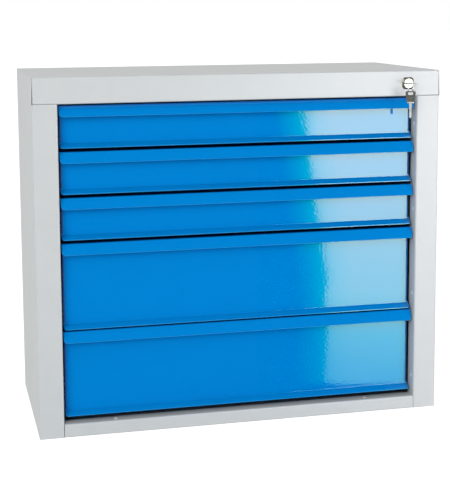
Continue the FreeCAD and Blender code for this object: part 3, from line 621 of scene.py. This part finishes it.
def grained_metal(name, colour, roughness, stretch, metallic):
    """Plated or bare metal with its grain and brighter edges."""
    material, tree, shader = new_material(name)
    metal = use_group(tree, "Metal grain", {"Stretch": stretch})
    blotched = blend_colours(tree, metal.outputs["Blotch"], shade(colour, 0.9), shade(colour, 1.1))
    wear_and_highlight_edges(tree, shader, blotched, shade(colour, 1.35), {"Gain": 3.0})
    vary_roughness(tree, shader, metal.outputs["Grain"], roughness * 0.8, roughness * 1.25)
    tree.links.new(metal.outputs["Normal"], shader.inputs["Normal"])
    shader.inputs["Metallic"].default_value = metallic
    return material


def cage_plastic(name, darker, lighter):
    """Dark moulded plastic of the ball cages."""
    material, tree, shader = new_material(name)
    skin = use_group(tree, "Metal grain", {"Stretch": (1.0, 1.0, 1.0), "Grain Scale": 500.0})
    mixed = blend_colours(tree, skin.outputs["Blotch"], darker, lighter)
    tree.links.new(mixed, shader.inputs["Base Color"])
    vary_roughness(tree, shader, skin.outputs["Grain"], low=0.42, high=0.6)
    return material


def material_for(finish):
    """Give the material of a finish, made on first use."""
    paint = bpy.context.scene.cabinet_paint
    rolled = (1.0, 1.0, 0.05)
    drawn = (1.0, 0.04, 1.0)
    cast = (1.0, 1.0, 1.0)
    # Name and maker of each material, and a metal's colour, roughness, grain and share of metal
    name, maker, values = {
        "carcass_grey": ("Light grey powder coat", carcass_coat, (paint.carcass,)),
        "drawer_blue": ("Glossy blue powder coat", drawer_coat, (paint.drawer,)),
        "galvanised_steel": ("Zinc-plated steel", grained_metal, (paint.zinc, 0.42, rolled, 1.0)),
        "slide_steel": ("Bright slide steel", grained_metal, (paint.slide, 0.26, drawn, 1.0)),
        "rivet_metal": ("Rivet aluminium", grained_metal, (paint.rivet, 0.34, cast, 0.3)),
        "chrome": ("Polished chrome", grained_metal, (paint.chrome, 0.10, cast, 1.0)),
        "nickel": ("Dull nickel", grained_metal, (paint.nickel, 0.26, cast, 0.75)),
        # The bows' darker key metal is painted shade
        "bow": ("Dark key plating", grained_metal, (paint.bow, 0.34, cast, 0.7)),
        "blade": ("Nickel silver", grained_metal, (paint.blade, 0.34, cast, 0.45)),
        "cage_plastic": ("Dark cage plastic", cage_plastic, ((0.018, 0.018, 0.02), (0.03, 0.03, 0.034))),
    }[finish]
    return bpy.data.materials.get(name) or maker(name, *values)


# Operators, one for each group of like pieces


class CABINET_OT_carcass(bpy.types.Operator):
    """Finish the folded panels of the carcass"""

    bl_idname = "cabinet.carcass"
    bl_label = "Finish Carcass"

    ear_width = 20 * MM

    def side(self, node, edge, seam):
        """Draw the top edge of a side's stile up to the rail, as the coat nearly fills the seam there."""
        side = node_copy(node, node + "_finished")
        low, high = node_box(node)
        inside_ear = max(-low.x, high.x) - self.ear_width
        face = [vertex for vertex in side.data.vertices if vertex.co.y < low.y + seam / 2]
        top = max(vertex.co.z for vertex in face if abs(vertex.co.x) < inside_ear)
        for vertex in face:
            if abs(vertex.co.z - top) < seam / 2:
                vertex.co.z += seam
        round_edges(side, edge)
        smooth(side)
        dress(side, "carcass_grey", node)
        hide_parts(node)

    def execute(self, context):
        sizes = context.scene.cabinet_sizes
        for node in ("left_side_panel", "right_side_panel"):
            self.side(node, sizes.sheet_edge, sizes.seam_fill)
        for node in ("top_cover", "bottom_panel", "back_panel", "sill_brackets"):
            finish_node(node, "carcass_grey", sizes.sheet_edge)
        return {"FINISHED"}


class CABINET_OT_uprights(bpy.types.Operator):
    """Finish the plated uprights inside the sides"""

    bl_idname = "cabinet.uprights"
    bl_label = "Finish Uprights"

    def execute(self, context):
        edge = context.scene.cabinet_sizes.sheet_edge
        for end in ("front", "rear"):
            for side in ("left", "right"):
                node = f"{end}_upright_{side}"
                finish_node(node, "galvanised_steel", edge, STEPPED_BEND_CREASE)
        return {"FINISHED"}


class CABINET_OT_rivets(bpy.types.Operator):
    """Model the domed rivets with their mandrels"""

    bl_idname = "cabinet.rivets"
    bl_label = "Model Rivets"

    def pattern(self, reach, width):
        """Model one rivet along Z, with its head's flat side at zero and its shank downwards."""
        head = reach * FASTENER_HEAD_SHARE
        mandrel = bpy.context.scene.cabinet_sizes.rivet_mandrel
        profile = [
            (-reach + head, width * 0.36), (-reach * 0.3, width * 0.28), (0, width * 0.28),
            (0, width * 0.49), (head * 0.25, width * 0.5), (head * 0.6, width * 0.43),
            (head * 0.9, width * 0.31), (head, mandrel), (head * 0.55, mandrel * 0.95),
            (head * 0.55, mandrel * 0.55), (head * 0.8, mandrel * 0.4),
        ]
        return turned_piece("rivet", profile, segments=28)

    def execute(self, context):
        for node, axis in (("stile_rivets", "X"), ("sill_rivets", "Z"), ("back_rivets", "Y")):
            set_fasteners(node, axis, self.pattern, "rivet_metal")
        return {"FINISHED"}


class CABINET_OT_drawer_fronts(bpy.types.Operator):
    """Finish the lipped drawer fronts"""

    bl_idname = "cabinet.drawer_fronts"
    bl_label = "Finish Drawer Fronts"

    def execute(self, context):
        edge = context.scene.cabinet_sizes.sheet_edge
        for number in DRAWERS:
            finish_node(f"drawer_{number}_front", "drawer_blue", edge)
        return {"FINISHED"}


class CABINET_OT_trays(bpy.types.Operator):
    """Finish the drawer trays and their backs"""

    bl_idname = "cabinet.trays"
    bl_label = "Finish Trays"

    def execute(self, context):
        edge = context.scene.cabinet_sizes.sheet_edge
        for number in DRAWERS:
            for part in ("tray", "back"):
                finish_node(f"drawer_{number}_{part}", "drawer_blue", edge, STEPPED_BEND_CREASE)
        return {"FINISHED"}


class CABINET_OT_slides(bpy.types.Operator):
    """Finish the ball slides and set the balls in their cages"""

    bl_idname = "cabinet.slides"
    bl_label = "Finish Slides"

    def balls(self, number, radius, pitch):
        """Set a row of balls into every cage of a drawer's two slides."""
        cage = f"ball_cages_{number}"
        places = []
        for low, high in solid_boxes(cage):
            middle = (low + high) / 2
            count = int((high.y - low.y) / pitch)
            start = middle.y - (count - 1) * pitch / 2
            for step in range(count):
                places.append(Matrix.Translation((middle.x, start + step * pitch, middle.z)))
        pattern = added(bpy.ops.mesh.primitive_uv_sphere_add, segments=10, ring_count=6, radius=radius)
        piece = copies(pattern, places, f"slide_balls_{number}")
        smooth(piece, BALL_CREASE)
        dress(piece, "chrome", cage, "slide_steel")

    def execute(self, context):
        sizes = context.scene.cabinet_sizes
        for number in DRAWERS:
            for node in (f"cabinet_slides_{number}", f"middle_slides_{number}", f"drawer_{number}_slides"):
                finish_node(node, "slide_steel", sizes.small_edge, STEPPED_BEND_CREASE)
            finish_node(f"ball_cages_{number}", "cage_plastic", sizes.small_edge)
            self.balls(number, sizes.ball_radius, sizes.ball_pitch)
        return {"FINISHED"}


class CABINET_OT_slide_screws(bpy.types.Operator):
    """Model the pan-head screws with a cross recess"""

    bl_idname = "cabinet.slide_screws"
    bl_label = "Model Slide Screws"

    def pattern(self, reach, width):
        """Model one screw along Z, with its head's seat at zero."""
        head = reach * FASTENER_HEAD_SHARE
        profile = [
            (-reach + head, width * 0.16), (-reach * 0.7, width * 0.27), (0, width * 0.27),
            (0, width * 0.5), (head * 0.45, width * 0.5), (head * 0.8, width * 0.42), (head, width * 0.25),
        ]
        screw = turned_piece("slide_screw", profile, segments=24)
        arm = width * 0.26
        slot = width * 0.06
        for x, y in ((arm, slot), (slot, arm)):
            cut(screw, block("recess", (-x, -y, head * 0.35), (x, y, head * 1.2)))
        return screw

    def execute(self, context):
        set_fasteners("slide_screws", "X", self.pattern, "slide_steel")
        return {"FINISHED"}


class CABINET_OT_lock(bpy.types.Operator):
    """Finish the lock, its cam and the bar that it lifts"""

    bl_idname = "cabinet.lock"
    bl_label = "Finish Lock"

    bezel_gap = 0.3 * MM
    face_depth = 0.1 * MM
    rim_gap = 0.12 * MM
    rim_width = 1.15 * MM
    rim_seat = 0.3 * MM
    rim_step = 0.1 * MM
    rim_edge = 0.2 * MM
    bore_reach = 10 * MM

    def housing(self, edge):
        """Draw the bezel's face in until its sloped sides end close to the plug, then finish it."""
        housing = node_copy("lock_housing", "lock_housing_finished")
        plug_low, plug_high = node_box("lock_plug")
        middle = (plug_low + plug_high) / 2
        reach = (plug_high.x - plug_low.x) / 2 + self.bezel_gap
        face_y = min(vertex.co.y for vertex in housing.data.vertices)
        corner = 0
        select_only(housing)
        bpy.context.tool_settings.mesh_select_mode = (True, False, False)
        bpy.ops.object.mode_set(mode="EDIT")
        bpy.ops.mesh.select_all(action="DESELECT")
        bpy.ops.object.mode_set(mode="OBJECT")
        for vertex in housing.data.vertices:
            away = Vector((vertex.co.x - middle.x, vertex.co.z - middle.z))
            vertex.select = vertex.co.y < face_y + self.face_depth and away.length > reach
            if vertex.select:
                corner = max(corner, abs(away.x), abs(away.y))
        bpy.ops.object.mode_set(mode="EDIT")
        share = reach / corner
        bpy.ops.transform.resize(value=(share, 1, share), center_override=(middle.x, face_y, middle.z))
        bpy.ops.object.mode_set(mode="OBJECT")
        round_edges(housing, edge)
        smooth(housing)
        dress(housing, "nickel", "lock_housing", "lock_chrome")
        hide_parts("lock_housing")
        self.rim(plug_low, plug_high, face_y)

    def rim(self, plug_low, plug_high, face_y):
        """Set the rim round the plug on the bezel's face, in the bezel's dull nickel."""
        middle = (plug_low + plug_high) / 2
        inside = (plug_high.x - plug_low.x) / 2 + self.rim_gap
        outside = inside + self.rim_width
        height = face_y - plug_low.y - self.rim_step
        rim = turned_piece("lock_rim", [(-self.rim_seat, outside), (height, outside)], segments=48)
        bore = added(
            bpy.ops.mesh.primitive_cylinder_add, vertices=48, radius=inside, depth=self.bore_reach
        )
        cut(rim, bore)
        round_edges(rim, self.rim_edge)
        place = Matrix.Translation((middle.x, face_y, middle.z))
        rim.data.transform(place @ Matrix.Rotation(math.radians(90), 4, "X"))
        smooth(rim)
        dress(rim, "nickel", "lock_housing", "lock_chrome")

    def execute(self, context):
        sizes = context.scene.cabinet_sizes
        self.housing(sizes.small_edge)
        finish_node("lock_plug", "chrome", sizes.small_edge * 2, slot="lock_chrome")
        for node in ("lock_nut", "lock_cam", "cam_screw"):
            finish_node(node, "nickel", sizes.small_edge, slot="lock_chrome")
        for node in ("lock_bar", "lock_bar_guides"):
            finish_node(node, "galvanised_steel", sizes.sheet_edge)
        return {"FINISHED"}


class CABINET_OT_keys(bpy.types.Operator):
    """Finish the key in the lock and model the split ring and the spare key"""

    bl_idname = "cabinet.keys"
    bl_label = "Model Keys"

    ring_wire = 0.36 * MM
    ring_inset = 0.85 * MM
    turn_offset_share = 0.97
    groove_start = 1.0 * MM
    cutter_reach = 5 * MM
    mark_place = 12 * MM
    mark_radius = 1.9 * MM
    mark_groove_share = 0.28
    blade_width_share = 0.72
    band_half_width = 5.2 * MM
    band_start = 2.4 * MM
    band_end = 0.2 * MM
    band_sheet = 0.35 * MM
    band_edge = 0.5 * MM
    slot_reach = 1.5 * MM
    hang_tilt = math.radians(-14)
    # Each tooth's place along the blade, and its depth
    tooth_shares = ((0.22, 0.5), (0.36, 0.32), (0.5, 0.62), (0.64, 0.28), (0.78, 0.55))
    tooth_radius_share = 1.5
    tooth_depth_share = 0.45

    def split_ring(self):
        """Wind the split ring as two touching turns of wire."""
        low, high = node_box("key_ring")
        middle = (low + high) / 2
        swing = math.atan2(high.x - low.x, high.y - low.y)
        reach = (high.z - low.z) / 2 - self.ring_inset
        axis = Vector((-math.cos(swing), math.sin(swing), 0))
        turns = []
        for side in (-1, 1):
            turn = added(
                bpy.ops.mesh.primitive_torus_add, major_radius=reach, minor_radius=self.ring_wire,
                major_segments=48, minor_segments=10,
            )
            place = middle + axis * (side * self.ring_wire * self.turn_offset_share)
            turn.matrix_world = Matrix.Translation(place) @ pointing(axis)
            settle(turn)
            turns.append(turn)
        ring = joined(turns, "key_ring_finished")
        smooth(ring)
        dress(ring, "chrome", "key_ring", "lock_chrome")
        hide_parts("key_ring")

    def cut_blade(self, blade, root):
        """Mill the grooves and cut the teeth of a blade that lies flat and points along Y."""
        low, high = mesh_box(blade)
        length = high.y - root.y
        half = (high.x - low.x) / 2
        thick = high.z - low.z
        far = self.cutter_reach
        back = (-0.45, 0.2, high.z - thick * 0.36, high.z + far)
        front = (0.42, 0.38, low.z - far, low.z + thick * 0.6)
        for offset, width, bottom, top in (back, front):
            start = (root.x + (offset - width) * half, root.y + self.groove_start, bottom)
            end = (root.x + (offset + width) * half, high.y + far, top)
            cut(blade, block("groove", start, end))
        for share, bite in self.tooth_shares:
            tooth = half * bite
            side = root.x - half - tooth * self.tooth_depth_share
            cutter = added(
                bpy.ops.mesh.primitive_cylinder_add,
                vertices=4, radius=tooth * self.tooth_radius_share, depth=far,
                location=(side, root.y + length * share, root.z),
            )
            settle(cutter)
            cut(blade, cutter)

    def mark(self, key, place):
        """Press the round mark into the middle of the key's bow."""
        cutter = added(
            bpy.ops.mesh.primitive_torus_add, major_radius=self.mark_radius,
            minor_radius=self.mark_radius * self.mark_groove_share, major_segments=28,
            minor_segments=8, location=place,
        )
        settle(cutter)
        cut(key, cutter)

    def band(self, middle, root, low, high):
        """Make the thin band that closes the bow round the blade."""
        half = Vector((self.band_half_width, 0, 0))
        start = Vector((middle.x, root.y - self.band_start, low.z - self.band_sheet))
        end = Vector((middle.x, root.y - self.band_end, high.z + self.band_sheet))
        band = block("spare_key_band", start - half, end + half)
        round_edges(band, self.band_edge)
        return band

    def execute(self, context):
        edge = context.scene.cabinet_sizes.small_edge
        self.split_ring()
        low, high = node_box("lock_key")
        middle = (low + high) / 2
        root = Vector((middle.x, node_box("lock_plug")[0].y, middle.z))
        key = node_copy("lock_key", "lock_key_finished")
        for z in (low.z, high.z):
            self.mark(key, (middle.x, low.y + self.mark_place, z))
        bow = duplicate(key, "spare_key_bow", Matrix.Identity(4))
        blade = duplicate(key, "spare_key_blade", Matrix.Identity(4))
        far = Vector((self.cutter_reach,) * 3)
        start, end = low - far, high + far
        cut(bow, block("blade_side", (start.x, root.y, start.z), end))
        cut(blade, block("bow_side", start, (end.x, root.y, end.z)))
        narrow = Matrix.Diagonal((self.blade_width_share, 1, 1, 1))
        blade.data.transform(Matrix.Translation(middle) @ narrow @ Matrix.Translation(-middle))
        self.cut_blade(blade, root)
        band = self.band(middle, root, low, high)
        for obj in (key, bow, blade):
            round_edges(obj, edge)
        for obj in (key, bow, blade, band):
            smooth(obj)
        dress(key, "bow", "lock_key", "lock_chrome")
        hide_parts("lock_key")
        ring_low, ring_high = node_box("key_ring")
        slot_edge = Vector((middle.x, low.y + self.slot_reach, middle.z))
        hang = (ring_low + ring_high) / 2
        hang.z = ring_low.z + self.slot_reach
        turn = Matrix.Rotation(self.hang_tilt, 4, "Z") @ Matrix.Rotation(math.radians(-90), 4, "X")
        # The bows take the darkened key metal as painted shade; the blade and the band keep the lighter
        # metal
        for obj, finish in ((bow, "bow"), (blade, "blade"), (band, "blade")):
            obj.data.transform(Matrix.Translation(hang) @ turn @ Matrix.Translation(-slot_edge))
            dress(obj, finish, "key_ring", "lock_chrome")
        return {"FINISHED"}


# Colours across and up the softbox, each at its share of the way

SOFTBOX_EDGE_SHARES = (
    (0.16, (0, 0, 0)), (0.42, (0, 0.24, 0.10)), (0.58, (0, 0.50, 0.22)),
    (0.61, (0.50, 0.80, 0.74)), (0.74, (0.82, 0.95, 0.95)), (1.0, (1, 1, 1)),
)
SOFTBOX_FALL_SHARES = (
    (0.078, (0, 0, 0)), (0.084, (0.16, 0.46, 0.46)), (0.22, (0.28, 0.66, 0.52)),
    (0.34, (0.57, 0.85, 0.64)), (0.56, (0.76, 0.92, 0.80)), (0.72, (0.86, 1, 1)),
)


class CABINET_OT_studio(bpy.types.Operator):
    """Set up the floor, the lights and the camera"""

    bl_idname = "cabinet.studio"
    bl_label = "Set Up Studio"

    floor_size = 60
    low_card_share = 0.7
    upright_below = -0.42
    edge_slant = 0.14
    edge_start, edge_end = 0.861, 1.161
    fall_tilt = 0.12
    fall_start, fall_end = -0.885, 0.715

    def floor(self):
        """Lay the white floor, which shows the shadow to the camera and stays out of the gloss."""
        floor = added(bpy.ops.mesh.primitive_plane_add, size=self.floor_size)
        floor.name = "studio_floor"
        floor.visible_glossy = False
        material, tree, shader = new_material("White studio floor")
        dull_white = {"Base Color": (0.88, 0.88, 0.88, 1), "Roughness": 1.0, "Specular IOR Level": 0.0}
        set_inputs(shader, dull_white)
        path = add_node(tree, "ShaderNodeLightPath")
        glow = add_node(tree, "ShaderNodeEmission", values={"Strength": 0.62})
        none = add_node(tree, "ShaderNodeEmission", values={"Strength": 0.0})
        pick = add_node(tree, "ShaderNodeMixShader")
        both = add_node(tree, "ShaderNodeAddShader")
        connect(
            tree,
            (path, "Is Camera Ray", pick, 0),
            (none, 0, pick, 1),
            (glow, 0, pick, 2),
            (shader, 0, both, 0),
            (pick, 0, both, 1),
            (both, 0, tree.nodes["Material Output"], "Surface"),
        )
        floor.data.materials.append(material)

    def room(self, ambient):
        """Make the room: white to the camera, even light, and a dim room in front for the gloss."""
        world = bpy.data.worlds.new("Studio room")
        bpy.context.scene.world = world
        world.use_nodes = True
        tree = world.node_tree
        tree.nodes.clear()
        leave = add_node(tree, "ShaderNodeOutputWorld")
        path = add_node(tree, "ShaderNodeLightPath")
        place = add_node(tree, "ShaderNodeTexCoord")
        split = add_node(tree, "ShaderNodeSeparateXYZ")
        behind = ranged(tree, start=-0.15, end=0.35, dimmest=0.02)
        white = {"Color": (1, 1, 1, 1)}
        even = add_node(tree, "ShaderNodeBackground", values={**white, "Strength": ambient})
        gloss = add_node(tree, "ShaderNodeBackground")
        backdrop = add_node(tree, "ShaderNodeBackground", values={**white, "Strength": 1.0})
        first = add_node(tree, "ShaderNodeMixShader")
        second = add_node(tree, "ShaderNodeMixShader")
        connect(
            tree,
            (place, "Generated", split, 0),
            (split, "Y", behind, "Value"),
            (behind, "Result", gloss, "Strength"),
            (path, "Is Glossy Ray", first, 0),
            (even, 0, first, 1),
            (gloss, 0, first, 2),
            (path, "Is Camera Ray", second, 0),
            (first, 0, second, 1),
            (backdrop, 0, second, 2),
            (second, 0, leave, "Surface"),
        )

    def lamp(self, name, place, aim, size, power, shows_in_gloss, colour):
        """Hang one soft rectangular light."""
        data = bpy.data.lights.new(name, "AREA")
        data.color = colour
        data.shape = "RECTANGLE"
        data.size, data.size_y = size
        data.energy = power
        lamp = new_object(name, data)
        lamp.location = place
        lamp.rotation_euler = (Vector(aim) - Vector(place)).to_track_quat("-Z", "Y").to_euler()
        lamp.visible_glossy = shows_in_gloss

    def ramp(self, tree, stops):
        """Add a colour ramp with the given stops."""
        node = add_node(tree, "ShaderNodeValToRGB")
        elements = node.color_ramp.elements
        elements.remove(elements[-1])
        elements[0].position = stops[0][0]
        elements[0].color = (*stops[0][1], 1)
        for position, colour in stops[1:]:
            elements.new(position).color = (*colour, 1)
        return node

    def card(self, name, size, place):
        """Stand an upright card that only the gloss shows, and give its material's emission."""
        card = added(bpy.ops.mesh.primitive_plane_add, size=1)
        card.name = name
        card.scale = (*size, 1)
        card.rotation_euler = (math.radians(90), 0, 0)
        card.location = place
        for ray in ("camera", "diffuse", "transmission", "shadow"):
            setattr(card, f"visible_{ray}", False)
        settle(card)
        material, tree = new_material(name)[:2]
        tree.nodes.clear()
        leave = add_node(tree, "ShaderNodeOutputMaterial")
        lit = add_node(tree, "ShaderNodeEmission")
        tree.links.new(lit.outputs[0], leave.inputs["Surface"])
        card.data.materials.append(material)
        return lit

    def softbox(self, glow):
        """Stand the softbox that the gloss of the drawers shows on the right."""
        lit = self.card("studio_softbox", size=(2.0, 2.4), place=(1.8, -3.0, 0.2))
        tree = lit.id_data
        place = add_node(tree, "ShaderNodeTexCoord")
        split = add_node(tree, "ShaderNodeSeparateXYZ")
        upright = add_node(tree, "ShaderNodeMath", {"operation": "MAXIMUM"}, {1: self.upright_below})
        slant = add_node(tree, "ShaderNodeMath", {"operation": "MULTIPLY_ADD"}, {1: self.edge_slant})
        across = ranged(tree, self.edge_start, self.edge_end)
        tilt = add_node(tree, "ShaderNodeMath", {"operation": "MULTIPLY_ADD"}, {1: self.fall_tilt})
        height = ranged(tree, self.fall_start, self.fall_end)
        edge = self.ramp(tree, SOFTBOX_EDGE_SHARES)
        fall = self.ramp(tree, SOFTBOX_FALL_SHARES)
        share = add_node(tree, "ShaderNodeVectorMath", {"operation": "MULTIPLY"})
        connect(
            tree,
            (place, "Object", split, 0),
            (split, "Z", upright, 0),
            (upright, 0, slant, 0),
            (split, "X", slant, 2),
            (slant, 0, across, "Value"),
            (across, "Result", edge, "Fac"),
            (split, "X", tilt, 0),
            (split, "Z", tilt, 2),
            (tilt, 0, height, "Value"),
            (height, "Result", fall, "Fac"),
            (edge, "Color", share, 0),
            (fall, "Color", share, 1),
            (share, "Vector", lit, "Color"),
        )
        set_inputs(lit, {"Strength": glow})

    def low_card(self, glow):
        """Stand the plain card low on the right, whose sheen the right stile shows."""
        lit = self.card("studio_low_card", size=(1.3, 1.5), place=(2.15, -2.98, -0.95))
        set_inputs(lit, {"Color": (1.0, 0.95, 1.0, 1), "Strength": glow})

    def camera(self, studio):
        """Stand the camera where the photograph was taken from."""
        data = bpy.data.cameras.new("Camera")
        camera = new_object("Camera", data)
        pitch, yaw, roll = studio.camera_turn
        turn = (
            Matrix.Rotation(-yaw, 4, "Z")
            @ Matrix.Rotation(math.pi / 2 - pitch, 4, "X")
            @ Matrix.Rotation(-roll, 4, "Z")
        )
        camera.matrix_world = Matrix.Translation(studio.camera_place) @ turn
        data.lens = studio.camera_lens
        data.sensor_width = 36
        data.shift_y = studio.camera_shift
        bpy.context.scene.camera = camera

    def execute(self, context):
        studio = context.scene.cabinet_studio
        self.floor()
        self.room(studio.ambient)
        self.lamp(
            "key_light", place=(-2.4, -3.2, 1.9), aim=(0, 0, 0.3), size=(1.6, 1.6),
            power=studio.key_power, shows_in_gloss=True, colour=(1, 1, 1),
        )
        self.lamp(
            "right_light", place=(1.5, -1.8, 0.2), aim=(0.42, -0.1, 0.1), size=(0.8, 0.36),
            power=studio.fill_power, shows_in_gloss=False, colour=(1.0, 0.88, 1.0),
        )
        self.softbox(studio.softbox_glow)
        self.low_card(studio.softbox_glow * self.low_card_share)
        self.camera(studio)
        context.scene.view_settings.view_transform = "Standard"
        return {"FINISHED"}


OPERATORS = (
    CABINET_OT_carcass,
    CABINET_OT_uprights,
    CABINET_OT_rivets,
    CABINET_OT_drawer_fronts,
    CABINET_OT_trays,
    CABINET_OT_slides,
    CABINET_OT_slide_screws,
    CABINET_OT_lock,
    CABINET_OT_keys,
    CABINET_OT_studio,
)


class CABINET_PT_panel(bpy.types.Panel):
    """List the cabinet's settings and steps in the sidebar"""

    bl_idname = "CABINET_PT_panel"
    bl_label = "Drawer Cabinet"
    bl_space_type = "VIEW_3D"
    bl_region_type = "UI"
    bl_category = "Cabinet"

    def draw(self, context):
        for name in GROUPS:
            group = getattr(context.scene, name)
            column = self.layout.column(align=True)
            for setting in group.__annotations__:
                column.prop(group, setting)
        for operator in OPERATORS:
            self.layout.operator(operator.bl_idname)


GROUPS = {
    "cabinet_paint": CabinetPaint,
    "cabinet_sizes": CabinetSizes,
    "cabinet_studio": CabinetStudio,
}


def register():
    """Register the settings, the operators and the panel."""
    for cls in (*GROUPS.values(), *OPERATORS, CABINET_PT_panel):
        bpy.utils.register_class(cls)
    for name, cls in GROUPS.items():
        setattr(bpy.types.Scene, name, bpy.props.PointerProperty(type=cls))


def unregister():
    """Take the settings, the operators and the panel out again."""
    for name in GROUPS:
        delattr(bpy.types.Scene, name)
    for cls in (CABINET_PT_panel, *reversed(OPERATORS), *reversed(GROUPS.values())):
        bpy.utils.unregister_class(cls)


def main():
    """Run every step in order."""
    register()
    bpy.ops.cabinet.carcass()
    bpy.ops.cabinet.uprights()
    bpy.ops.cabinet.rivets()
    bpy.ops.cabinet.drawer_fronts()
    bpy.ops.cabinet.trays()
    bpy.ops.cabinet.slides()
    bpy.ops.cabinet.slide_screws()
    bpy.ops.cabinet.lock()
    bpy.ops.cabinet.keys()
    bpy.ops.cabinet.studio()


if __name__ == "__main__":
    main()
